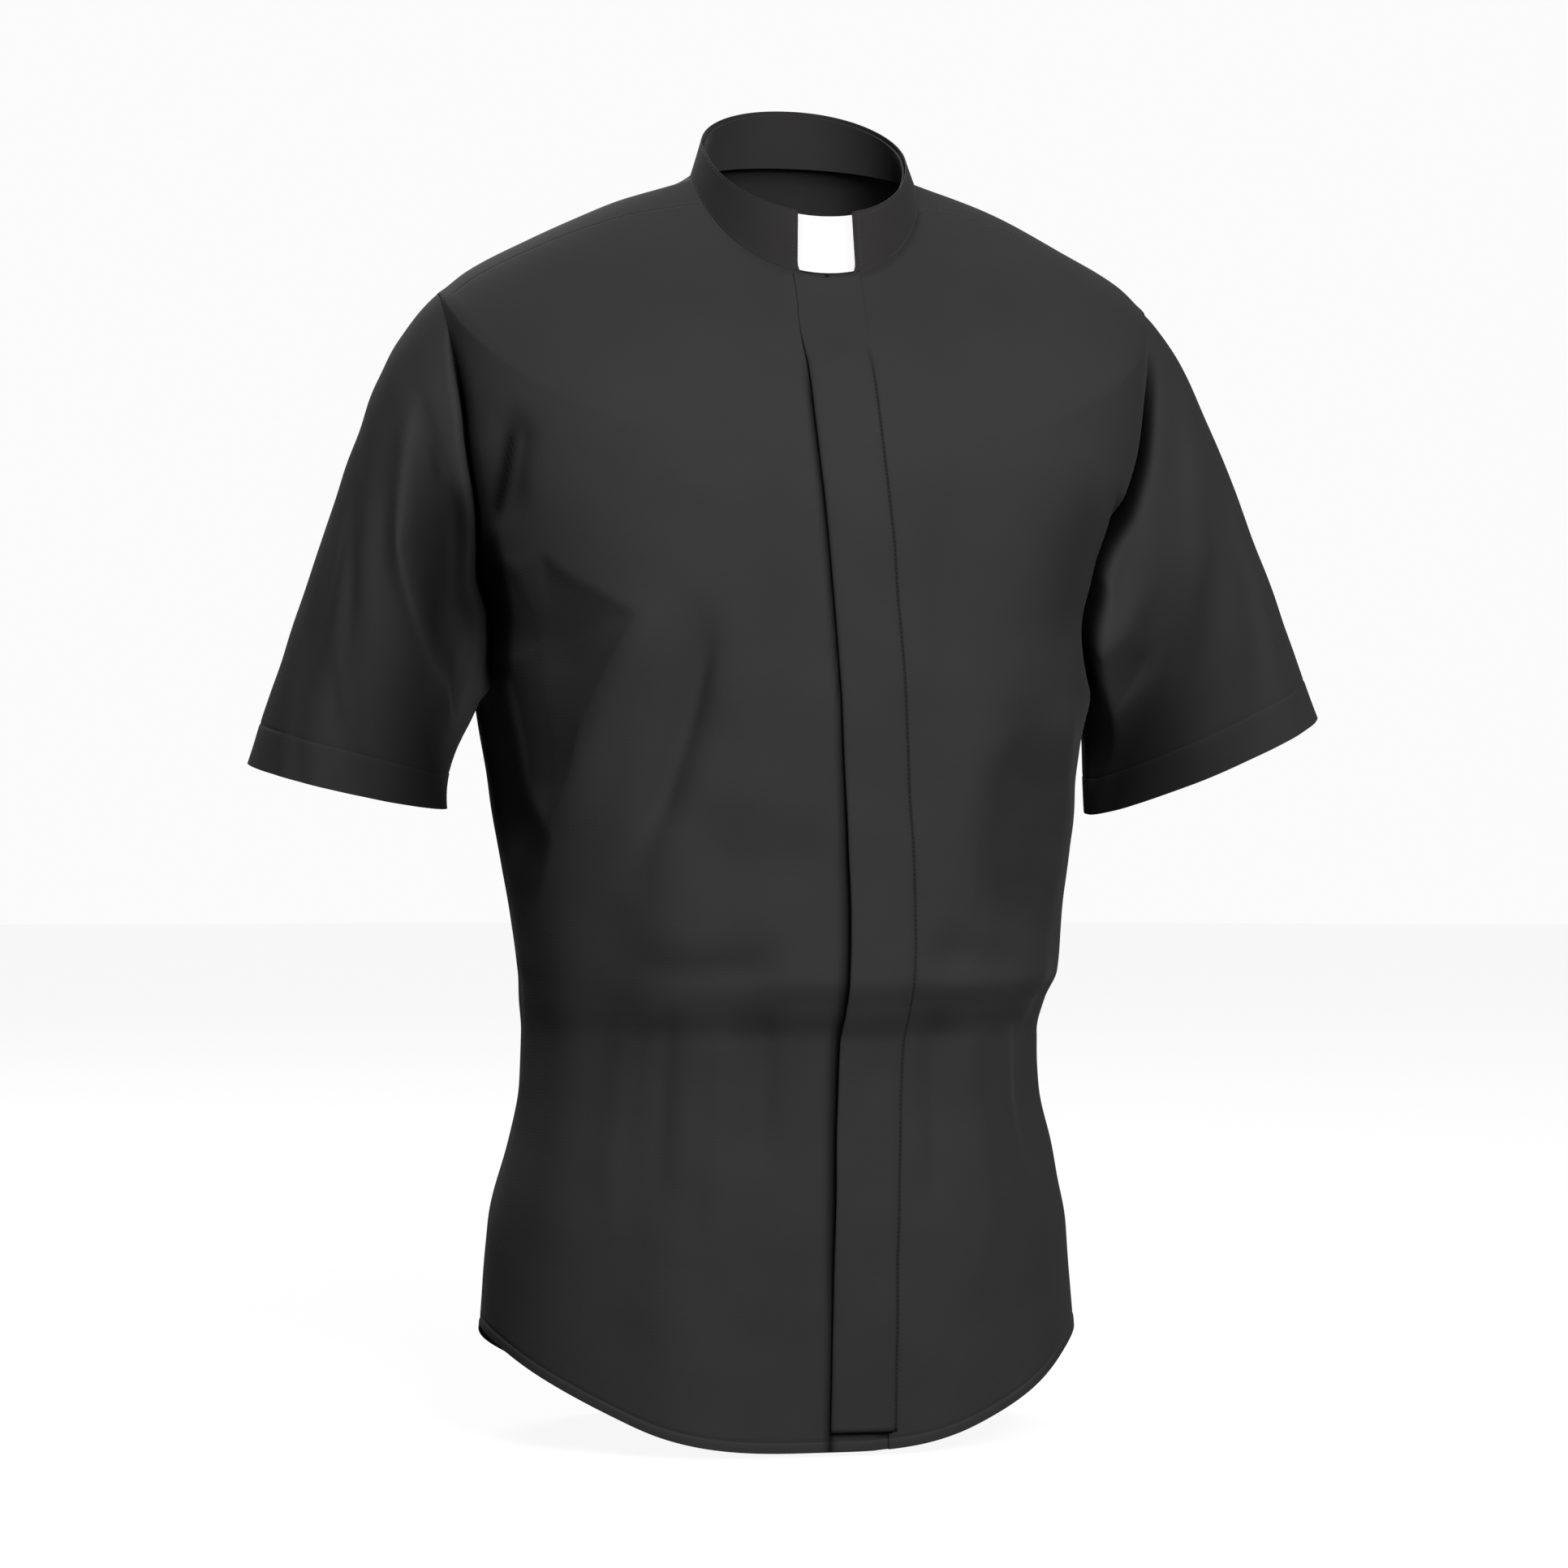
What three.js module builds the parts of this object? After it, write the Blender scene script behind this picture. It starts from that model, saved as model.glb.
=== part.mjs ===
// A short-sleeved clergy shirt with a tab collar, as it is worn: buttoned, tucked in and open at neck, sleeves
// and hem. Millimetres. +X is the wearer's left, -Y the front, +Z up. The origin is the middle of the neck ring.
import * as THREE from 'three';

// Cloth and seams
const CLOTH = 1.6; // wall of a panel
const SEAM_GAP = 0.3; // between two pieces that are sewn together
const SLOPE_STEPS = { angle: 0.004, drop: 0.8, sleeveAngle: 0.02, sleeveShare: 0.01 }; // to measure a slope across
const HALVINGS = 40; // steps of a search between two values

// The figure that holds the shirt up, as rings. drop counts the way down along the cloth from the neck seam.
// half, front and back are the reaches from the middle, square the roundness, blend how late the ring turns up from
// its front or back to its sides, lean its shift in X, and opening the X of the middle of the front fly.
const SHOULDER_RINGS = table(
  ['drop', 'half', 'sideZ', 'front', 'frontZ', 'back', 'backZ', 'square', 'blend', 'lean', 'opening'],
  [
    [0, 70, 1, 70, -64.5, 62, 18, 2.1, 1.1, 0, 0],
    [14, 79, -2, 77, -75, 72, 7, 2.1, 1.2, 0, 0],
    [50, 118, -15, 92, -98, 93, -32, 2.2, 1.4, -2, -1],
    [100, 166, -38, 107, -126, 111, -78, 2.35, 1.6, -4, 1],
    [145, 204, -59, 118, -153, 120, -122, 2.5, 1.6, -6, 2],
    [167, 220, -73, 123, -170, 124, -145, 2.6, 1.6, -7, 3],
    [230, 220, -135, 129, -207, 128, -190, 2.7, 1.6, -9, 6],
    [320, 206, -222, 133, -262, 128, -252, 2.6, 1.6, -11, 10],
    [422, 188, -322, 136, -322, 123, -322, 2.5, 1.6, -13.5, 14],
  ],
);
// Below the underarm the rings are level. gather is the height of the waves that the waist draws in.
const BODY_RINGS = table(
  ['z', 'half', 'front', 'back', 'square', 'lean', 'opening', 'gather'],
  [
    [-345, 184, 136, 121, 2.45, -14, 15, 0.3],
    [-410, 175, 137, 117, 2.4, -13, 18, 1],
    [-460, 168, 139, 117, 2.4, -12, 19, 2],
    [-485, 165, 140, 118, 2.4, -12, 18, 3],
    [-502, 160, 134, 112, 2.4, -16, 17, 3.5],
    [-522, 156, 125, 103, 2.4, -19, 15, 4],
    [-555, 158, 123, 103, 2.4, -19, 14, 4],
    [-640, 178, 125, 120, 2.4, -18, 12, 2],
    [-770, 186, 124, 128, 2.4, -18, 10, 1.5],
  ],
);
const UNDERARM_DROP = 422;
const UNDERARM_Z = -322;

// Largest folds of the body, each a soft ridge (height > 0) or trough between two points of the front or back.
const BODY_FOLDS = table(
  ['face', 'x1', 'z1', 'x2', 'z2', 'width', 'height', 'bow'],
  [
    ['front', -114, -258, -166, -420, 28, 3, 8],
    ['front', -170, -258, -196, -408, 52, -9, 4],
    ['front', -89, -270, -128, -425, 24, -6, -5],
    ['front', -104, -412, -8, -408, 44, -3, 6],
    ['front', 112, -330, 116, -472, 52, -8, 3],
    ['front', 142, -320, 148, -400, 24, 6, 3],
    ['front', 40, -472, 128, -482, 28, -4, -3],
    ['front', -134, -480, -40, -474, 28, -3, 3],
    ['front', -190, -150, -198, -215, 20, -5, 3],
    ['front', 60, -190, 78, -330, 36, -3, 5],
    ['back', 118, -265, 166, -418, 28, 5, -6],
    ['back', -112, -270, -160, -430, 28, 5, 6],
    ['back', -82, -300, -118, -440, 24, -5, 4],
    ['back', 86, -285, 122, -446, 26, -5, -4],
    ['back', -30, -380, -10, -490, 30, -4, 2],
    ['back', 42, -400, 30, -492, 26, -4, -2],
    ['back', -60, -130, -20, -150, 30, -2, 3],
  ],
);
const FOLD_FREE_SIDE = 0.22; // the cosine of the angle to the side within which a fold fades out
const GATHER_WAVES = [
  { count: 9, phase: 0.7, share: 0.6 },
  { count: 15, phase: -1.1, share: 0.4 },
];
const FLAT_BESIDE_FLY = { from: 34, to: 74 }; // no gathers this near the middle of the fly

// Hem: a shirt tail, longest at the middle of the front and back
const HEM_Z = -765;
const HEM_RISE = 65;

// Armholes, as an oval of the angle round the body and the drop. 0 is the underarm, 90 the front edge, 180 the top.
// Its front edge reaches round by spread, and skew makes that more low down and less near the top.
const ARMHOLE = {
  tipDrop: 167,
  backSpread: rad(19),
  right: { spread: rad(17), skew: -0.6 },
  left: { spread: rad(21), skew: 0.9 },
};
const ARMHOLE_MIDDLE = (ARMHOLE.tipDrop + UNDERARM_DROP) / 2;
const ARMHOLE_HALF = (UNDERARM_DROP - ARMHOLE.tipDrop) / 2;

// Yoke: its front seam runs a little before the shoulder ridge, its back seam is level
const YOKE_FORWARD = 22;
const YOKE_BACK_Z = -90;
const YOKE_STEPS = [0, 0.09, 0.22, 0.38, 0.54, 0.7, 0.85, 1];

// Fly front. Distances are from the middle of the opening, to the wearer's left.
const FLY = { free: -21, sewn: 20, hemGap: 12 };
const FLY_SECTION = table(
  ['share', 'lift'],
  [
    [0, 1.6],
    [0.13, 2.3],
    [0.32, 2.7],
    [0.66, 2.7],
    [0.88, 1.3],
    [1, 0.3],
  ],
);
const FRONT_EDGE = { right: 12, left: 15 };

// Buttons under the fly
const BUTTON = { count: 7, firstZ: -122, pitch: 85, radius: 5.5, thick: 2, lift: 0.45, sides: 16 };

// Sleeves end in an oval: its centre and reaches, how far its inner edge and its front dip, and how far from the
// upright its outer and inner sides fall.
const SLEEVES = {
  right_sleeve: {
    side: -1,
    centre: [-282, 0, -371],
    wide: 61,
    deep: 60,
    tilt: rad(12),
    dip: rad(6),
    outer: rad(20),
    inner: rad(-4),
  },
  left_sleeve: {
    side: 1,
    centre: [255, 0, -358],
    wide: 80.7,
    deep: 54,
    tilt: rad(22.5),
    dip: rad(4),
    outer: rad(22),
    inner: rad(4),
  },
};
// A sleeve leaves the armhole at these angles from the upright, and keeps them for a share of its length.
const SLEEVE_START = { top: rad(50), bottom: rad(24), topPull: 0.19, bottomPull: 0.4 };
const SLEEVE_END_PULL = 0.42;
const SLEEVE_ROWS = 12;
const SLEEVE_RADIUS = 65; // to measure folds across a sleeve
// Sleeve folds run from a point to another, each at an angle of the armhole's oval and a share of the length.
const SLEEVE_FOLDS = table(
  ['sleeve', 'angle1', 'share1', 'angle2', 'share2', 'width', 'height'],
  [
    ['right_sleeve', 142, 0.2, 104, 0.42, 24, 4],
    ['right_sleeve', 112, 0.4, 40, 0.42, 24, 4],
    ['right_sleeve', 112, 0.14, 50, 0.2, 26, -5],
    ['right_sleeve', 168, 0.45, 140, 0.85, 26, -3],
    ['right_sleeve', 240, 0.25, 285, 0.85, 20, 4],
    ['right_sleeve', 262, 0.2, 310, 0.75, 18, -5],
    ['left_sleeve', 54, 0.12, 90, 0.32, 18, 4],
    ['left_sleeve', 45, 0.32, 82, 0.46, 20, -5],
    ['left_sleeve', 118, 0.5, 84, 0.9, 24, -3],
    ['left_sleeve', 150, 0.45, 128, 0.95, 18, 3],
    ['left_sleeve', 245, 0.25, 280, 0.9, 22, -5],
    ['left_sleeve', 214, 0.2, 236, 0.85, 20, 4],
  ],
);

// Collar: a stand that is open at the front, a band inside it, and a white tab that slides between them
const COLLAR_TOP = { half: 63, front: 65, back: 57, frontZ: -25.5, sideZ: 20, backZ: 52, square: 2.1, blend: 1.05 };
const COLLAR_WALL = 1.8;
const COLLAR_WINDOW = rad(15.3);
const COLLAR_STEPS = [0, 0.25, 0.5, 0.75, 1];
const COLLAR_SEGMENTS = 40;
const TAB = { wall: 1, halfAngle: rad(40.6), low: 0.02, high: 0.955, columns: 18 };
const BAND = { wall: 1.4, halfSlit: rad(1.2), high: 0.93, tabEnd: rad(46), snug: rad(60) };
const LAYER_GAP = 0.3; // between layers that lie on each other

// Fineness of the panels
const FRONT_COLUMNS = 13;
const BACK_COLUMNS = 24;
const ARMHOLE_FRONT_ROWS = 10;
const ARMHOLE_TOP_COLUMNS = 6;
const ARMHOLE_BACK_ROWS = 10;
const BODY_LEVELS = [-652, -622, -588, -558, -537, -522, -512, -502, -493, -485, -472, -455, -432, -405, -376, -348];
const TAIL_SHARES = [0, 0.5];

const BLACK_CLOTH = { color: 0x36363a, roughness: 0.92, metalness: 0 };
const MATERIALS = {
  cloth: new THREE.MeshStandardMaterial(BLACK_CLOTH),
  collarCloth: new THREE.MeshStandardMaterial({ ...BLACK_CLOTH, color: 0x2c2a2b }),
  tab: new THREE.MeshStandardMaterial({ color: 0xf6f3f1, roughness: 0.45, metalness: 0 }),
  button: new THREE.MeshStandardMaterial({ color: 0x1d1d1f, roughness: 0.35, metalness: 0 }),
};

function rad(degrees) {
  return THREE.MathUtils.degToRad(degrees);
}

// Turns rows of values into objects with the columns' names.
function table(columns, rows) {
  return rows.map((row) => Object.fromEntries(columns.map((name, index) => [name, row[index]])));
}

function mix(a, b, share) {
  return a + (b - a) * share;
}

function smooth(from, to, value) {
  return THREE.MathUtils.smoothstep(value, from, to);
}

// Curve through a column of the ring table that never swings past its rows.
function monotoneCurve(xs, ys) {
  const slopes = xs.slice(1).map((x, k) => (ys[k + 1] - ys[k]) / (x - xs[k]));
  const tangents = xs.map((_, k) => {
    if (k === 0) return slopes[0];
    if (k === xs.length - 1) return slopes[k - 1];
    const product = slopes[k - 1] * slopes[k];
    return product <= 0 ? 0 : (2 * product) / (slopes[k - 1] + slopes[k]);
  });
  return (x) => {
    const at = THREE.MathUtils.clamp(x, xs[0], xs[xs.length - 1]);
    const k = Math.min(xs.findIndex((value, index) => index > 0 && at <= value), xs.length - 1) - 1;
    const span = xs[k + 1] - xs[k];
    const u = (at - xs[k]) / span;
    const u2 = u * u;
    const u3 = u2 * u;
    return (
      (2 * u3 - 3 * u2 + 1) * ys[k] +
      (u3 - 2 * u2 + u) * span * tangents[k] +
      (3 * u2 - 2 * u3) * ys[k + 1] +
      (u3 - u2) * span * tangents[k + 1]
    );
  };
}

// All rings with the same columns, from the neck to below the hem.
const RINGS = [
  ...SHOULDER_RINGS.map((ring) => ({ ...ring, gather: 0 })),
  ...BODY_RINGS.map((ring) => ({
    ...ring,
    drop: levelDrop(ring.z),
    sideZ: ring.z,
    frontZ: ring.z,
    backZ: ring.z,
    blend: 1.6,
  })),
];
const RING_KEYS = ['half', 'sideZ', 'front', 'frontZ', 'back', 'backZ', 'square', 'blend', 'lean', 'opening', 'gather'];
const RING_CURVES = Object.fromEntries(
  RING_KEYS.map((key) => [key, monotoneCurve(RINGS.map((ring) => ring.drop), RINGS.map((ring) => ring[key]))]),
);

// The drop of a level ring below the underarm.
function levelDrop(z) {
  return UNDERARM_DROP + UNDERARM_Z - z;
}

function ringAt(drop) {
  return Object.fromEntries(RING_KEYS.map((key) => [key, RING_CURVES[key](drop)]));
}

// Height of a soft ridge or trough at a place given as steps along and across it.
function foldHeight(along, across, length, fold) {
  const share = along / length;
  const ends = smooth(-0.12, 0.3, share) * (1 - smooth(0.7, 1.12, share));
  const bend = (fold.bow ?? 0) * 4 * share * (1 - share);
  const off = (across - bend) / (fold.width / 2);
  return fold.height * ends * Math.exp(-off * off);
}

function bodyRelief(face, x, z) {
  let height = 0;
  for (const fold of BODY_FOLDS) {
    if (fold.face !== face) continue;
    const run = new THREE.Vector2(fold.x2 - fold.x1, fold.z2 - fold.z1);
    const length = run.length();
    run.divideScalar(length);
    const here = new THREE.Vector2(x - fold.x1, z - fold.z1);
    height += foldHeight(here.dot(run), here.cross(run), length, fold);
  }
  return height;
}

function gatherWave(psi) {
  return GATHER_WAVES.reduce((sum, wave) => sum + wave.share * Math.sin(wave.count * psi + wave.phase), 0);
}

// How far a rounded oblong ring reaches from its middle at an angle.
function ringReach(ring, depth, psi) {
  const across = Math.abs(Math.sin(psi)) / ring.half;
  const forward = Math.abs(Math.cos(psi)) / depth;
  return (across ** ring.square + forward ** ring.square) ** (-1 / ring.square);
}

// Outer face of the cloth on the body. psi turns from the front (0) to the wearer's left (+) and right (-).
function bodyPoint(psi, drop) {
  const ring = ringAt(drop);
  const isFront = Math.cos(psi) >= 0;
  const depth = isFront ? ring.front : ring.back;
  const faceZ = isFront ? ring.frontZ : ring.backZ;
  const reach = ringReach(ring, depth, psi);
  const z = mix(ring.sideZ, faceZ, ((reach * Math.abs(Math.cos(psi))) / depth) ** ring.blend);
  const x = ring.lean + reach * Math.sin(psi);
  const besideFly = isFront ? smooth(FLAT_BESIDE_FLY.from, FLAT_BESIDE_FLY.to, Math.abs(x - ring.opening)) : 1;
  const awayFromSide = smooth(0, FOLD_FREE_SIDE, Math.abs(Math.cos(psi)));
  const folds = awayFromSide * bodyRelief(isFront ? 'front' : 'back', x, z);
  const relief = folds + ring.gather * gatherWave(psi) * besideFly;
  const out = reach + relief;
  return new THREE.Vector3(ring.lean + out * Math.sin(psi), -out * Math.cos(psi), z);
}

function bodyNormal(psi, drop) {
  const upper = Math.max(0, drop - SLOPE_STEPS.drop);
  const down = bodyPoint(psi, drop + SLOPE_STEPS.drop).sub(bodyPoint(psi, upper));
  const round = bodyPoint(psi + SLOPE_STEPS.angle, drop).sub(bodyPoint(psi - SLOPE_STEPS.angle, drop));
  return down.cross(round).normalize();
}

// A corner of a cloth grid: a point, the way out of the cloth there, and the height of its outer face.
function corner(point, normal, lift = 0) {
  return { point, normal, lift };
}

function bodyCorner(psi, drop, lift = 0) {
  return corner(bodyPoint(psi, drop), bodyNormal(psi, drop), lift);
}

// The value between low and high from which isPast holds.
function bisect(low, high, isPast) {
  let [from, to] = [low, high];
  for (let step = 0; step < HALVINGS; step += 1) {
    const middle = (from + to) / 2;
    if (isPast(middle)) to = middle;
    else from = middle;
  }
  return (from + to) / 2;
}

// The angle at which a ring of the front passes a given X.
function angleAtX(x, drop) {
  const ring = ringAt(drop);
  return bisect(rad(-80), rad(80), (psi) => ring.lean + ringReach(ring, ring.front, psi) * Math.sin(psi) > x);
}

function hemDrop(psi) {
  return levelDrop(HEM_Z + HEM_RISE * Math.abs(Math.sin(psi)) ** 4);
}

// Rows of the body below the underarm, from the hem up: each gives the drop at an angle round the body.
function bodyRowDrops() {
  const topOfTail = levelDrop(BODY_LEVELS[0]);
  const tail = TAIL_SHARES.map((share) => (psi) => mix(hemDrop(psi), topOfTail, share));
  const levels = BODY_LEVELS.map((z) => () => levelDrop(z));
  return [...tail, ...levels];
}

// Goes softly from 1 at the underarm through about 0 at the middle of the armhole to -0.3 at its top.
function lowness(phi) {
  const low = Math.cos(phi);
  return 0.3 * low + 0.35 * (low + Math.hypot(low, 0.39));
}

function armholeAt(side, phi) {
  const { spread, skew } = side > 0 ? ARMHOLE.left : ARMHOLE.right;
  const isFront = Math.sin(phi) >= 0;
  const reach = isFront ? spread * (1 + skew * lowness(phi)) : ARMHOLE.backSpread;
  return {
    psi: side * (Math.PI / 2 - reach * Math.sin(phi)),
    drop: ARMHOLE_MIDDLE + ARMHOLE_HALF * Math.cos(phi),
  };
}

function evenly(from, to, count) {
  return Array.from({ length: count + 1 }, (_, k) => mix(from, to, k / count));
}

// The angle round the body of the yoke's line that runs at a distance behind the shoulder ridge.
function ridgeAngle(behind, drop) {
  return Math.PI / 2 + Math.asin(behind / ringAt(drop).half);
}

// Where the yoke's back seam meets the armhole, as an angle of the armhole's oval.
const YOKE_BACK_PHI = bisect(rad(182), rad(260), (phi) => {
  const place = armholeAt(1, phi);
  return bodyPoint(place.psi, place.drop).z < YOKE_BACK_Z;
});

// The angles of an armhole's oval that the front, the yoke and the back share with the sleeve.
function armholeAngles(side) {
  const yokeFront = bisect(rad(100), rad(178), (phi) => {
    const place = armholeAt(side, phi);
    return Math.abs(place.psi) > ridgeAngle(-YOKE_FORWARD, place.drop);
  });
  return {
    front: evenly(0, yokeFront, ARMHOLE_FRONT_ROWS),
    top: evenly(yokeFront, YOKE_BACK_PHI, ARMHOLE_TOP_COLUMNS),
    back: evenly(rad(360), YOKE_BACK_PHI, ARMHOLE_BACK_ROWS),
    junctionDrop: armholeAt(side, yokeFront).drop,
  };
}

const LEFT_ARMHOLE = armholeAngles(1);
const RIGHT_ARMHOLE = armholeAngles(-1);

// Builds a closed wall from a grid of corners: an outer face, an inner face and the edges between them. inset moves
// the grid's borders inwards, so that a seam keeps its gap.
function clothWall(grid, { wall = CLOTH, loop = false, inset = {} } = {}) {
  const rows = grid.length;
  const columns = grid[0].length;
  const points = grid.map((row) => row.map((node) => node.point.clone()));
  const pull = (i, j, toI, toJ, amount) => {
    const way = grid[toI][toJ].point.clone().sub(grid[i][j].point).normalize();
    points[i][j].addScaledVector(way, amount);
  };
  for (let j = 0; j < columns; j += 1) {
    if (inset.first) pull(0, j, 1, j, inset.first);
    if (inset.last) pull(rows - 1, j, rows - 2, j, inset.last);
  }
  for (let i = 0; i < rows; i += 1) {
    if (inset.start) pull(i, 0, i, 1, inset.start);
    if (inset.end) pull(i, columns - 1, i, columns - 2, inset.end);
  }

  const positions = [];
  for (const depth of [0, wall]) {
    grid.forEach((row, i) => {
      row.forEach((node, j) => {
        const place = points[i][j].clone().addScaledVector(node.normal, node.lift - depth);
        positions.push(place.x, place.y, place.z);
      });
    });
  }

  const outer = (i, j) => i * columns + (j % columns);
  const inner = (i, j) => outer(i, j) + rows * columns;
  const faces = [];
  const quad = (a, b, c, d) => faces.push(a, b, c, a, c, d);
  const lastColumn = loop ? columns : columns - 1;
  for (let i = 0; i < rows - 1; i += 1) {
    for (let j = 0; j < lastColumn; j += 1) {
      quad(outer(i, j), outer(i, j + 1), outer(i + 1, j + 1), outer(i + 1, j));
      quad(inner(i, j), inner(i + 1, j), inner(i + 1, j + 1), inner(i, j + 1));
    }
    if (!loop) {
      quad(outer(i, 0), outer(i + 1, 0), inner(i + 1, 0), inner(i, 0));
      quad(outer(i, lastColumn), inner(i, lastColumn), inner(i + 1, lastColumn), outer(i + 1, lastColumn));
    }
  }
  for (let j = 0; j < lastColumn; j += 1) {
    quad(outer(0, j), inner(0, j), inner(0, j + 1), outer(0, j + 1));
    quad(outer(rows - 1, j), outer(rows - 1, j + 1), inner(rows - 1, j + 1), inner(rows - 1, j));
  }
  return solidGeometry(positions, faces);
}

// Turns the faces round where they point inwards, which a mirrored grid makes them do.
function solidGeometry(positions, faces) {
  const at = (index) => new THREE.Vector3().fromArray(positions, index * 3);
  let volume = 0;
  for (let k = 0; k < faces.length; k += 3) {
    volume += at(faces[k]).dot(at(faces[k + 1]).cross(at(faces[k + 2])));
  }
  if (volume < 0) faces.reverse();
  const geometry = new THREE.BufferGeometry();
  geometry.setAttribute('position', new THREE.Float32BufferAttribute(positions, 3));
  geometry.setIndex(faces);
  geometry.computeVertexNormals();
  return geometry;
}

// A front runs from its edge under the fly to the side seam, the armhole and the yoke.
function frontPanel(side) {
  const edge = side > 0 ? FRONT_EDGE.left : FRONT_EDGE.right;
  const rows = [];
  const addRow = (dropAt, endPsi) => {
    const middleDrop = dropAt(0);
    const startPsi = angleAtX(ringAt(middleDrop).opening + edge, middleDrop);
    rows.push(evenly(startPsi, endPsi, FRONT_COLUMNS).map((psi) => bodyCorner(psi, dropAt(psi))));
  };
  bodyRowDrops().forEach((dropAt) => addRow(dropAt, (side * Math.PI) / 2));
  const armhole = side > 0 ? LEFT_ARMHOLE : RIGHT_ARMHOLE;
  armhole.front.forEach((phi) => {
    const place = armholeAt(side, phi);
    addRow(() => place.drop, place.psi);
  });
  YOKE_STEPS.slice(0, -1)
    .reverse()
    .forEach((share) => {
      const drop = armhole.junctionDrop * share;
      addRow(() => drop, side * ridgeAngle(-YOKE_FORWARD, drop));
    });
  return clothWall(rows, { inset: { end: SEAM_GAP / 2, last: SEAM_GAP / 2 } });
}

// The back seam of the yoke at a share of the way from the left armhole to the right one.
function yokeSeamAt(share) {
  const left = armholeAt(1, YOKE_BACK_PHI);
  const psi = mix(left.psi, 2 * Math.PI - left.psi, share);
  const drop = bisect(60, 300, (value) => bodyPoint(psi, value).z < YOKE_BACK_Z);
  return { psi, drop };
}

// The back runs from side seam to side seam, and from the hem to the yoke.
function backPanel() {
  const shares = evenly(0, 1, BACK_COLUMNS);
  const rows = bodyRowDrops().map((dropAt) =>
    shares.map((share) => {
      const psi = mix(Math.PI / 2, (3 * Math.PI) / 2, share);
      return bodyCorner(psi, dropAt(psi));
    }),
  );
  const seam = shares.map(yokeSeamAt);
  const seamRise = UNDERARM_DROP - armholeAt(1, YOKE_BACK_PHI).drop;
  LEFT_ARMHOLE.back.forEach((phi) => {
    const place = armholeAt(1, phi);
    const rise = (UNDERARM_DROP - place.drop) / seamRise;
    rows.push(
      shares.map((share, index) => {
        const psi = mix(place.psi, 2 * Math.PI - place.psi, share);
        return bodyCorner(psi, mix(UNDERARM_DROP, seam[index].drop, rise));
      }),
    );
  });
  return clothWall(rows, { inset: { start: SEAM_GAP / 2, end: SEAM_GAP / 2, last: SEAM_GAP / 2 } });
}

// Columns of the yoke, from the left front seam round the back of the neck to the right one: each gives the angle
// round the body at a share of the way from the neck to the yoke's outer edge.
function yokeColumns() {
  const shoulder = (side, armhole) =>
    armhole.top.slice(0, -1).map((phi) => {
      const place = armholeAt(side, phi);
      const behind = ringAt(place.drop).half * Math.sin(Math.abs(place.psi) - Math.PI / 2);
      return { drop: place.drop, psiAt: (drop) => side * ridgeAngle(behind, drop) };
    });
  const corner = armholeAt(1, YOKE_BACK_PHI);
  const cornerBehind = ringAt(corner.drop).half * Math.sin(corner.psi - Math.PI / 2);
  const neckAngle = ridgeAngle(cornerBehind, 0);
  const back = evenly(0, 1, BACK_COLUMNS).map((share) => {
    const seam = yokeSeamAt(share);
    const neckPsi = mix(neckAngle, 2 * Math.PI - neckAngle, share);
    const psiAt = (drop) => {
      const level = (drop / seam.drop) * corner.drop;
      const spread = (ridgeAngle(cornerBehind, level) - corner.psi) / (neckAngle - corner.psi);
      return mix(seam.psi, neckPsi, spread);
    };
    return { drop: seam.drop, psiAt };
  });
  return [...shoulder(1, LEFT_ARMHOLE), ...back, ...shoulder(-1, RIGHT_ARMHOLE).reverse()];
}

function yokePanel() {
  const columns = yokeColumns();
  const rows = [...YOKE_STEPS].reverse().map((share) =>
    columns.map((column) => {
      const drop = column.drop * share;
      return bodyCorner(column.psiAt(drop), drop);
    }),
  );
  const half = SEAM_GAP / 2;
  return clothWall(rows, { inset: { first: half, last: half, start: half, end: half } });
}

// 0 at the underarm side of a sleeve, 1 at its top.
function topShare(phi) {
  return (1 - Math.cos(phi)) / 2;
}

// Down, and outwards by an angle.
function downward(side, angle) {
  return new THREE.Vector3(side * Math.sin(angle), 0, -Math.cos(angle));
}

// How a sleeve leaves the armhole: its first point, its way, and the body's normal there.
function sleeveStart(sleeve, phi) {
  const place = armholeAt(sleeve.side, phi);
  const point = bodyPoint(place.psi, place.drop);
  const normal = bodyNormal(place.psi, place.drop);
  const way = downward(sleeve.side, mix(SLEEVE_START.bottom, SLEEVE_START.top, topShare(phi)));
  const middle = bodyPoint((sleeve.side * Math.PI) / 2, ARMHOLE_MIDDLE).sub(point);
  const onward = middle.addScaledVector(normal, -middle.dot(normal)).normalize().dot(way);
  point.addScaledVector(way, SEAM_GAP / 2).addScaledVector(normal, (SEAM_GAP / 2) * (1 - onward));
  return { point, way, normal, onward };
}

function sleeveRelief(name, phi, share, length) {
  let height = 0;
  for (const fold of SLEEVE_FOLDS) {
    if (fold.sleeve !== name) continue;
    const from = new THREE.Vector2(rad(fold.angle1) * SLEEVE_RADIUS, fold.share1 * length);
    const to = new THREE.Vector2(rad(fold.angle2) * SLEEVE_RADIUS, fold.share2 * length);
    const run = to.clone().sub(from);
    const span = run.length();
    run.divideScalar(span);
    const here = new THREE.Vector2(phi * SLEEVE_RADIUS, share * length).sub(from);
    height += foldHeight(here.dot(run), here.cross(run), span, fold);
  }
  return height * smooth(0, 0.12, share);
}

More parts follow.
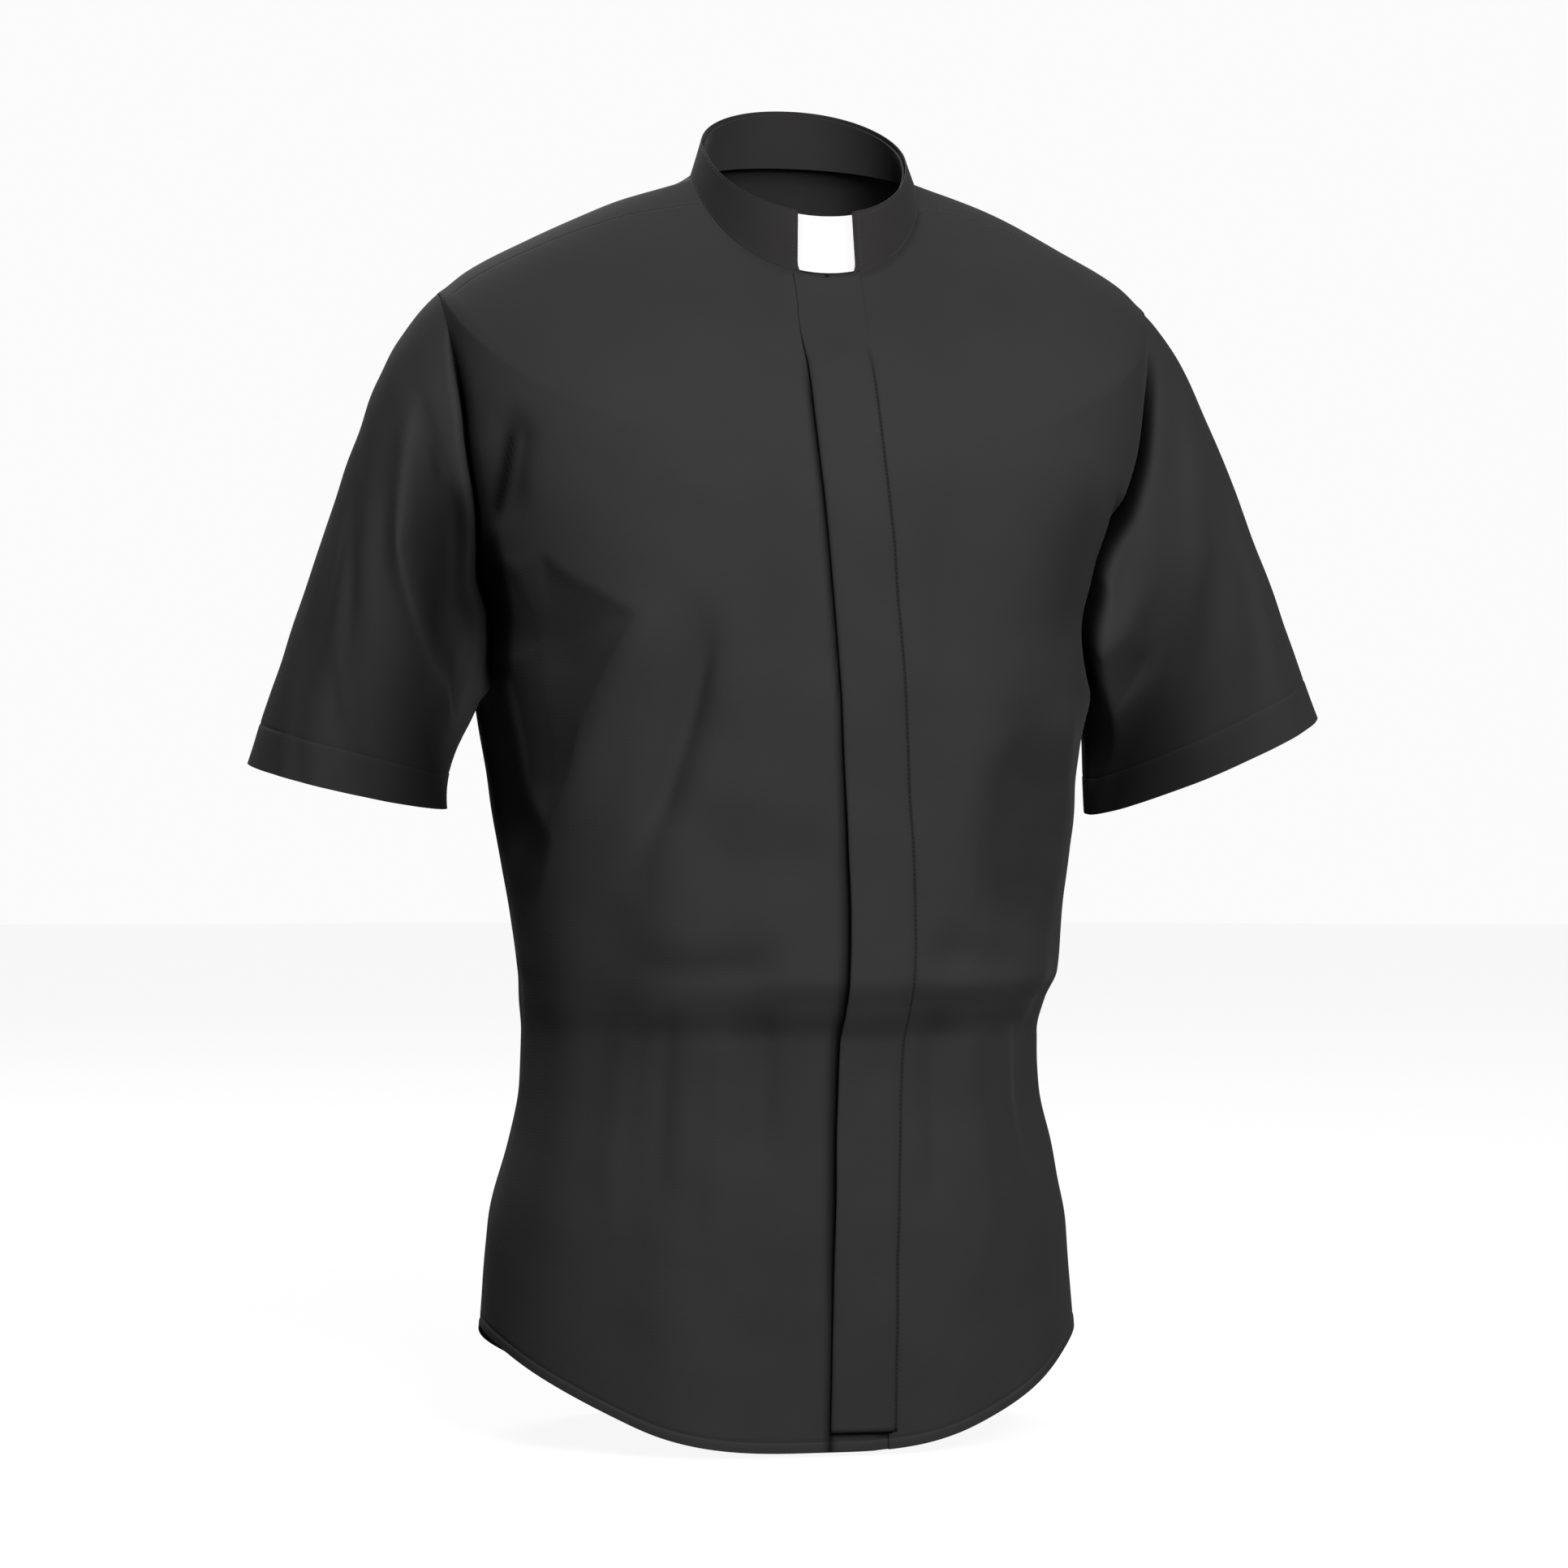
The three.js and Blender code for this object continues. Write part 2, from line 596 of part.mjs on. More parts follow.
// Outer face of a sleeve, at an angle of its oval and a share of the way from the armhole to the hem.
function sleevePoint(name, phi, share) {
  const sleeve = SLEEVES[name];
  const start = sleeveStart(sleeve, phi);
  const inwards = new THREE.Vector3(-sleeve.side * Math.cos(sleeve.tilt), 0, -Math.sin(sleeve.tilt));
  const forwards = new THREE.Vector3(0, -Math.cos(sleeve.dip), -Math.sin(sleeve.dip));
  const armWay = downward(sleeve.side, mix(sleeve.inner, sleeve.outer, topShare(phi)));
  const radial = inwards
    .multiplyScalar(sleeve.wide * Math.cos(phi))
    .addScaledVector(forwards, sleeve.deep * Math.sin(phi));
  const end = new THREE.Vector3().fromArray(sleeve.centre).add(radial);
  const length = end.distanceTo(start.point);
  const startPull = mix(SLEEVE_START.bottomPull, SLEEVE_START.topPull, topShare(phi));
  const curve = new THREE.CubicBezierCurve3(
    start.point,
    start.point.clone().addScaledVector(start.way, startPull * length),
    end.clone().addScaledVector(armWay, -SLEEVE_END_PULL * length),
    end,
  );
  const turn = ((phi % (2 * Math.PI)) + 2 * Math.PI) % (2 * Math.PI);
  const relief = sleeveRelief(name, turn, share, length);
  return curve.getPoint(share).addScaledVector(radial.normalize(), relief);
}

function sleeveNormal(name, phi, share) {
  const { sleeveAngle, sleeveShare } = SLOPE_STEPS;
  const from = Math.max(0, share - sleeveShare);
  const to = Math.min(1, share + sleeveShare);
  const down = sleevePoint(name, phi, to).sub(sleevePoint(name, phi, from));
  const round = sleevePoint(name, phi + sleeveAngle, share).sub(sleevePoint(name, phi - sleeveAngle, share));
  return down.cross(round).multiplyScalar(SLEEVES[name].side).normalize();
}

function sleevePanel(name) {
  const armhole = SLEEVES[name].side > 0 ? LEFT_ARMHOLE : RIGHT_ARMHOLE;
  const angles = [...armhole.front, ...armhole.top.slice(1), ...[...armhole.back].reverse().slice(1, -1)];
  const rows = evenly(0, 1, SLEEVE_ROWS).map((share) =>
    angles.map((phi) => {
      const normal = sleeveNormal(name, phi, share);
      if (share === 0) {
        const start = sleeveStart(SLEEVES[name], phi);
        normal.lerp(start.normal, smooth(0.2, 0.9, start.onward)).normalize();
      }
      return corner(sleevePoint(name, phi, share), normal);
    }),
  );
  return clothWall(rows, { loop: true });
}

// Outer face of the collar stand, from the neck seam (0) to its top edge (1).
function collarPoint(psi, share) {
  const base = bodyPoint(psi, 0);
  const isFront = Math.cos(psi) >= 0;
  const depth = isFront ? COLLAR_TOP.front : COLLAR_TOP.back;
  const faceZ = isFront ? COLLAR_TOP.frontZ : COLLAR_TOP.backZ;
  const reach = ringReach(COLLAR_TOP, depth, psi);
  const topZ = mix(COLLAR_TOP.sideZ, faceZ, ((reach * Math.abs(Math.cos(psi))) / depth) ** COLLAR_TOP.blend);
  const top = new THREE.Vector3(reach * Math.sin(psi), -reach * Math.cos(psi), topZ);
  return base.lerp(top, share);
}

function collarNormal(psi, share) {
  const up = collarPoint(psi, 1).sub(collarPoint(psi, 0));
  const round = collarPoint(psi + SLOPE_STEPS.angle, share).sub(collarPoint(psi - SLOPE_STEPS.angle, share));
  return round.cross(up).normalize();
}

function collarStrip({ from, to, segments, low, high, wall, liftAt }) {
  const rows = COLLAR_STEPS.map((step) => {
    const share = mix(low, high, step);
    return evenly(from, to, segments).map((psi) =>
      corner(collarPoint(psi, share), collarNormal(psi, share), liftAt(psi)),
    );
  });
  return clothWall(rows, { wall, inset: { first: SEAM_GAP } });
}

function collarStand() {
  return collarStrip({
    from: COLLAR_WINDOW,
    to: 2 * Math.PI - COLLAR_WINDOW,
    segments: COLLAR_SEGMENTS,
    low: 0,
    high: 1,
    wall: COLLAR_WALL,
    liftAt: () => 0,
  });
}

const TAB_LIFT = -(COLLAR_WALL + LAYER_GAP);

function whiteTab() {
  return collarStrip({
    from: -TAB.halfAngle,
    to: TAB.halfAngle,
    segments: TAB.columns,
    low: TAB.low,
    high: TAB.high,
    wall: TAB.wall,
    liftAt: () => TAB_LIFT,
  });
}

// The band lies against the stand, and makes room for the tab at the front.
function neckband() {
  const behindTab = TAB_LIFT - TAB.wall - LAYER_GAP;
  const liftAt = (psi) => {
    const fromFront = psi > Math.PI ? 2 * Math.PI - psi : psi;
    return mix(behindTab, TAB_LIFT, smooth(BAND.tabEnd, BAND.snug, fromFront));
  };
  return collarStrip({
    from: BAND.halfSlit,
    to: 2 * Math.PI - BAND.halfSlit,
    segments: COLLAR_SEGMENTS,
    low: 0,
    high: BAND.high,
    wall: BAND.wall,
    liftAt,
  });
}

// The fly is a strip that lies on both fronts. It is sewn at the wearer's left and free at the right.
function frontFly() {
  const drops = [
    hemDrop(0) - FLY.hemGap,
    mix(hemDrop(0), levelDrop(BODY_LEVELS[0]), 0.5),
    ...BODY_LEVELS.map(levelDrop),
    ...LEFT_ARMHOLE.front.map((phi) => armholeAt(1, phi).drop),
    ...YOKE_STEPS.slice(0, -1).reverse().map((share) => LEFT_ARMHOLE.junctionDrop * share),
  ];
  const rows = drops.map((drop) => {
    const middle = ringAt(drop).opening;
    return FLY_SECTION.map(({ share, lift }) => {
      const psi = angleAtX(middle + mix(FLY.free, FLY.sewn, share), drop);
      return bodyCorner(psi, drop, lift + CLOTH);
    });
  });
  return clothWall(rows, { inset: { last: 1 } });
}

function button(index) {
  const z = BUTTON.firstZ - index * BUTTON.pitch;
  const drop = bisect(0, hemDrop(0), (value) => bodyPoint(0, value).z < z);
  const psi = angleAtX(ringAt(drop).opening, drop);
  const normal = bodyNormal(psi, drop);
  const mesh = new THREE.Mesh(
    new THREE.CylinderGeometry(BUTTON.radius, BUTTON.radius, BUTTON.thick, BUTTON.sides),
    MATERIALS.button,
  );
  mesh.name = `button_${index + 1}`;
  mesh.quaternion.setFromUnitVectors(new THREE.Vector3(0, 1, 0), normal);
  mesh.position.copy(bodyPoint(psi, drop)).addScaledVector(normal, BUTTON.lift + BUTTON.thick / 2);
  return mesh;
}

function piece(name, geometry, material) {
  const mesh = new THREE.Mesh(geometry, material);
  mesh.name = name;
  return mesh;
}

const shirt = new THREE.Group();
shirt.name = 'clergy_shirt';
shirt.add(piece('right_front', frontPanel(-1), MATERIALS.cloth));
shirt.add(piece('left_front', frontPanel(1), MATERIALS.cloth));
shirt.add(piece('back', backPanel(), MATERIALS.cloth));
shirt.add(piece('yoke', yokePanel(), MATERIALS.cloth));
shirt.add(piece('front_fly', frontFly(), MATERIALS.cloth));
for (const name of Object.keys(SLEEVES)) {
  shirt.add(piece(name, sleevePanel(name), MATERIALS.cloth));
}
shirt.add(piece('collar_stand', collarStand(), MATERIALS.collarCloth));
shirt.add(piece('neckband', neckband(), MATERIALS.collarCloth));
shirt.add(piece('white_tab', whiteTab(), MATERIALS.tab));
for (let index = 0; index < BUTTON.count; index += 1) {
  shirt.add(button(index));
}

export default shirt;
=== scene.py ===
"""A short-sleeved clergy shirt with a tab collar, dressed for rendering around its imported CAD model.

Sizes in the tables are millimetres, and the meshes are metres. +X is the wearer's left, -Y the front, +Z up,
and the origin is the middle of the neck ring.
"""
import logging
import math
from dataclasses import dataclass
from enum import Enum
from typing import Callable, Sequence

import bmesh
import bpy
import numpy as np
from mathutils import Matrix, Vector


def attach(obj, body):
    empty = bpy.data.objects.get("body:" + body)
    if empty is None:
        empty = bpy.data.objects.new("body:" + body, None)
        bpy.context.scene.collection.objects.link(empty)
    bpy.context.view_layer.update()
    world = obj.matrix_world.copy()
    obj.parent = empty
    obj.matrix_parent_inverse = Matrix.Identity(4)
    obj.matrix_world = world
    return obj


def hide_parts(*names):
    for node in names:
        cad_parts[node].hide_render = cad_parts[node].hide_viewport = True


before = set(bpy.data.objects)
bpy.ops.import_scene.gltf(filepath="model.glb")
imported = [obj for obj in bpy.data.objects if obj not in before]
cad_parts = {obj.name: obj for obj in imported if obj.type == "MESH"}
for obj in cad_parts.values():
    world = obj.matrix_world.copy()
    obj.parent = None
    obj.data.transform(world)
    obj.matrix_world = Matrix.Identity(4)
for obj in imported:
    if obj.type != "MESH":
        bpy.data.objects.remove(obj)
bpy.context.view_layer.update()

LOG = logging.getLogger("clergy_shirt")
MM = 0.001
UV_SPAN = 100.0  # mm of cloth to one unit of the UV maps
Array = np.ndarray


class Face(Enum):
    """Which face of the body a fold lies on."""

    FRONT = "front"
    BACK = "back"


class Side(Enum):
    """A side of the wearer, as the sign of its X."""

    RIGHT = -1
    LEFT = 1


# Form

def rad(degrees: float) -> float:
    """Degrees to radians."""
    return math.radians(degrees)


def mix(a: Array | float, b: Array | float, share: Array | float) -> Array | float:
    """The value a share of the way from a to b."""
    return a + (b - a) * share


def smooth(low: float, high: float, value: Array | float) -> Array | float:
    """A soft step from 0 at low to 1 at high."""
    t = np.clip((value - low) / (high - low), 0, 1)
    return t * t * (3 - 2 * t)


def bump(off: Array, width: Array | float, power: float = 2) -> Array:
    """1 on a line, falling to 0 beside it over about a width."""
    return np.exp(-((off / width) ** power))


def rounded(away: Array, crest: float) -> Array:
    """A distance from a line, eased over the line so that its crest is rounded."""
    return np.sqrt(away**2 + crest**2) - crest


def unit(vectors: Array) -> Array:
    """Vectors of length 1, along the last axis."""
    return vectors / np.maximum(np.linalg.norm(vectors, axis=-1, keepdims=True), 1e-12)


def bisect(low: Array, high: Array, is_past: Callable[[Array], Array], steps: int = 34) -> Array:
    """Finds the values between low and high from which is_past holds.

    Args:
        low: Where the search starts.
        high: Where it ends.
        is_past: Tells which values are past the wanted ones.
        steps: How often the span is halved.

    Returns:
        The wanted values.
    """
    low, high = np.array(low, float), np.array(high, float)
    for _ in range(steps):
        middle = (low + high) / 2
        past = is_past(middle)
        high = np.where(past, middle, high)
        low = np.where(past, low, middle)
    return (low + high) / 2


class Curve:
    """A curve through a column of a table that never swings past its rows."""

    def __init__(self, xs: Sequence[float], ys: Sequence[float]) -> None:
        """Works out the curve's slopes.

        Args:
            xs: The rows' places, rising.
            ys: The column's values.
        """
        self.xs, self.ys = np.array(xs, float), np.array(ys, float)
        slopes = np.diff(self.ys) / np.diff(self.xs)
        product = slopes[:-1] * slopes[1:]
        total = np.where(product > 0, slopes[:-1] + slopes[1:], 1)
        inner = np.where(product > 0, 2 * product / total, 0)
        self.tangents = np.concatenate([slopes[:1], inner, slopes[-1:]])

    def __call__(self, x: Array | float) -> Array:
        """The curve's value at x."""
        xs, ys, tangents = self.xs, self.ys, self.tangents
        at = np.clip(x, xs[0], xs[-1])
        k = np.clip(np.searchsorted(xs, at) - 1, 0, len(xs) - 2)
        span = xs[k + 1] - xs[k]
        u = (at - xs[k]) / span
        u2, u3 = u * u, u * u * u
        return (
            (2 * u3 - 3 * u2 + 1) * ys[k]
            + (u3 - 2 * u2 + u) * span * tangents[k]
            + (3 * u2 - 2 * u3) * ys[k + 1]
            + (u3 - u2) * span * tangents[k + 1]
        )


@dataclass(frozen=True)
class Fold:
    """One of the solids' large folds: a soft ridge (height > 0) or trough between two places."""

    a1: float
    b1: float
    a2: float
    b2: float
    width: float
    height: float
    bow: float = 0.0

    def relief(self, a: Array, b: Array) -> Array:
        """How far the fold lifts the cloth at places a across and b along it."""
        run = np.array([self.a2 - self.a1, self.b2 - self.b1])
        length = float(np.hypot(*run))
        run = run / length
        here_a, here_b = a - self.a1, b - self.b1
        share = (here_a * run[0] + here_b * run[1]) / length
        across = here_a * run[1] - here_b * run[0]
        ends = smooth(-0.12, 0.3, share) * (1 - smooth(0.7, 1.12, share))
        off = (across - self.bow * 4 * share * (1 - share)) / (self.width / 2)
        return self.height * ends * np.exp(-off * off)


# How soon stretches of a line that are further off than the nearest one cease to count, in mm, and how the
# slopes of creases and grooves run out
BLEND = 4.0
SLOPE_POWER = 1.4


def beside(line: Array, a: Array, b: Array, reach: float, fades: tuple[float, float]) -> tuple[Array, ...]:
    """Measures places against a line on the cloth, without a jump where two stretches of it are equally near.

    Args:
        line: The line's points, two columns.
        a: The places across the cloth.
        b: The places along it.
        reach: Places further off than this are left out.
        fades: The shares of the line over which it fades in and out.

    Returns:
        Which places are near; and for each of those how far off it is, how much the line counts there, and
        how much it is on the right hand, from 0 to 1.
    """
    low, high = line.min(0) - reach, line.max(0) + reach
    near = (a > low[0]) & (a < high[0]) & (b > low[1]) & (b < high[1])
    here = np.stack([a[near], b[near]], -1)[:, None, :]
    run = np.diff(line, axis=0)
    length = np.linalg.norm(run, axis=1)
    way = run / length[:, None]
    joint = unit(np.concatenate([way[:1], way[:-1] + way[1:], way[-1:]]))
    gap = here - line[None, :-1]
    run_to = (gap * way).sum(-1)
    along = np.clip(run_to, 0, length)
    off = gap - along[..., None] * way
    facing = np.where((run_to >= length)[..., None], joint[1:], way)
    facing = np.where((run_to <= 0)[..., None], joint[:-1], facing)
    across = off[..., 0] * facing[..., 1] - off[..., 1] * facing[..., 0]
    distance = np.linalg.norm(off, axis=-1)
    nearest = distance.min(1, initial=1e9)
    weight = length * np.exp((nearest[:, None] - distance) / BLEND)
    weight /= weight.sum(1, keepdims=True)
    share = (np.concatenate([[0], np.cumsum(length)])[:-1] + along) / length.sum()
    counts = smooth(0, fades[0], share) * (1 - smooth(1 - fades[1], 1, share))
    return near, nearest, (weight * counts).sum(1), (weight * (across > 0)).sum(1)


@dataclass(frozen=True)
class Crease:
    """A finer fold along a curved line, with a crest of its own sharpness and two unlike slopes.

    The line runs through three places. Seen along it, one slope is on the left hand and one on the right.
    """

    a1: float
    b1: float
    a2: float
    b2: float
    a3: float
    b3: float
    height: float
    left: float
    right: float
    crest: float = 3.0
    fade_in: float = 0.3
    fade_out: float = 0.35
    # How much shade is painted along the crease, from 0 to 1
    shadow: float = 0.0

    STEPS = 28

    def relief(self, a: Array, b: Array) -> Array:
        """How far the crease lifts the cloth at places a across and b along it."""
        t = np.linspace(0, 1, self.STEPS)[:, None]
        start, middle, end = np.array([[self.a1, self.b1], [self.a2, self.b2], [self.a3, self.b3]])
        bend = 2 * middle - (start + end) / 2
        line = (1 - t) ** 2 * start + 2 * t * (1 - t) * bend + t**2 * end
        reach = 3.2 * max(self.left, self.right) + 2 * self.crest
        near, away, counts, rightness = beside(line, a, b, reach, (self.fade_in, self.fade_out))
        width = mix(self.left, self.right, rightness)
        out = np.zeros_like(a)
        out[near] = self.height * counts * bump(rounded(away, self.crest), width, SLOPE_POWER)
        return out


@dataclass(frozen=True)
class Hollow:
    """Cloth that bends back at an edge with corners, on its right hand, and eases further in."""

    line: tuple[tuple[float, float], ...]
    depth: float
    reach: float
    crest: float = 1.5
    fade_in: float = 0.15
    fade_out: float = 0.3
    limit: float = 80.0
    # How much shade is painted in the hollow, from 0 to 1
    shadow: float = 0.0

    def relief(self, a: Array, b: Array) -> Array:
        """How far the hollow lifts the cloth, which is less than nothing."""
        line = np.array(self.line, float)
        near, away, counts, rightness = beside(line, a, b, self.limit, (self.fade_in, self.fade_out))
        eased = 1 - np.exp(-rounded(away, self.crest) / self.reach)
        fall = eased * (1 - smooth(0.5 * self.limit, self.limit, away))
        out = np.zeros_like(a)
        out[near] = -self.depth * counts * smooth(0.3, 0.7, rightness) * fall
        return out


def painted_shadows(creases: Sequence[Crease | Hollow], a: Array, b: Array) -> Array:
    """How much shade is painted in creases and hollows, from 0 to 1."""
    painted_shade_amount = np.zeros(np.broadcast(a, b).shape)
    for crease in creases:
        if crease.shadow:
            deepest = crease.depth if isinstance(crease, Hollow) else -crease.height
            painted_shade_amount = painted_shade_amount + np.clip(-crease.relief(a, b) / deepest, 0, 1) * crease.shadow
    return np.clip(painted_shade_amount, 0, 1)


class Ripples:
    """The gentle unevenness of cloth that isn't pressed quite flat: many long low waves across each other."""

    SHORTEST = 34.0
    LONGEST = 130.0
    COUNT = 16

    def __init__(self, seed: int, height: float) -> None:
        """Draws the waves.

        Args:
            seed: Tells one piece's waves from another's.
            height: About how far the cloth rises and falls, in mm.
        """
        draw = np.random.default_rng(seed)
        lengths = np.geomspace(self.SHORTEST, self.LONGEST, self.COUNT)
        ways = draw.uniform(0, math.pi, self.COUNT)
        self.across = 2 * math.pi / lengths * np.cos(ways)
        self.along = 2 * math.pi / lengths * np.sin(ways)
        self.starts = draw.uniform(0, 2 * math.pi, self.COUNT)
        self.heights = height * lengths / lengths.sum() * math.sqrt(self.COUNT)

    def relief(self, a: Array, b: Array) -> Array:
        """How far the waves lift the cloth."""
        waves = zip(self.across, self.along, self.starts, self.heights)
        return sum(tall * np.sin(across * a + along * b + start) for across, along, start, tall in waves)


@dataclass(frozen=True)
class Hem:
    """A turned-up hem: how far it reaches, and the step and the groove of stitches at its upper edge."""

    depth: float
    raised: float
    step: float
    groove: float
    groove_width: float

    def relief(self, up: Array) -> Array:
        """How far the hem lifts the cloth at a height above its lower edge."""
        raised = self.raised * (1 - smooth(self.depth - self.step, self.depth + self.step, up))
        return raised - self.groove * bump(up - self.depth, self.groove_width)


TAIL_HEM = Hem(6.0, 0.5, 0.6, 0.5, 0.7)
SLEEVE_HEM = Hem(20.0, 0.25, 0.7, 0.3, 0.8)


@dataclass(frozen=True)
class Opening:
    """The armhole on one side: how far its front edge reaches round the body."""

    side: Side
    spread: float
    skew: float
    back_spread: float = rad(19)
    top: float = 167.0
    bottom: float = 422.0

    def place(self, phi: Array | float) -> tuple[Array, Array]:
        """The angle round the body and the drop of a point of the oval, which starts at the underarm."""
        low = np.cos(phi)
        lowness = 0.3 * low + 0.35 * (low + np.hypot(low, 0.39))
        reach = np.where(np.sin(phi) >= 0, self.spread * (1 + self.skew * lowness), self.back_spread)
        psi = self.side.value * (math.pi / 2 - reach * np.sin(phi))
        drop = (self.top + self.bottom) / 2 + (self.bottom - self.top) / 2 * np.cos(phi)
        return psi, drop


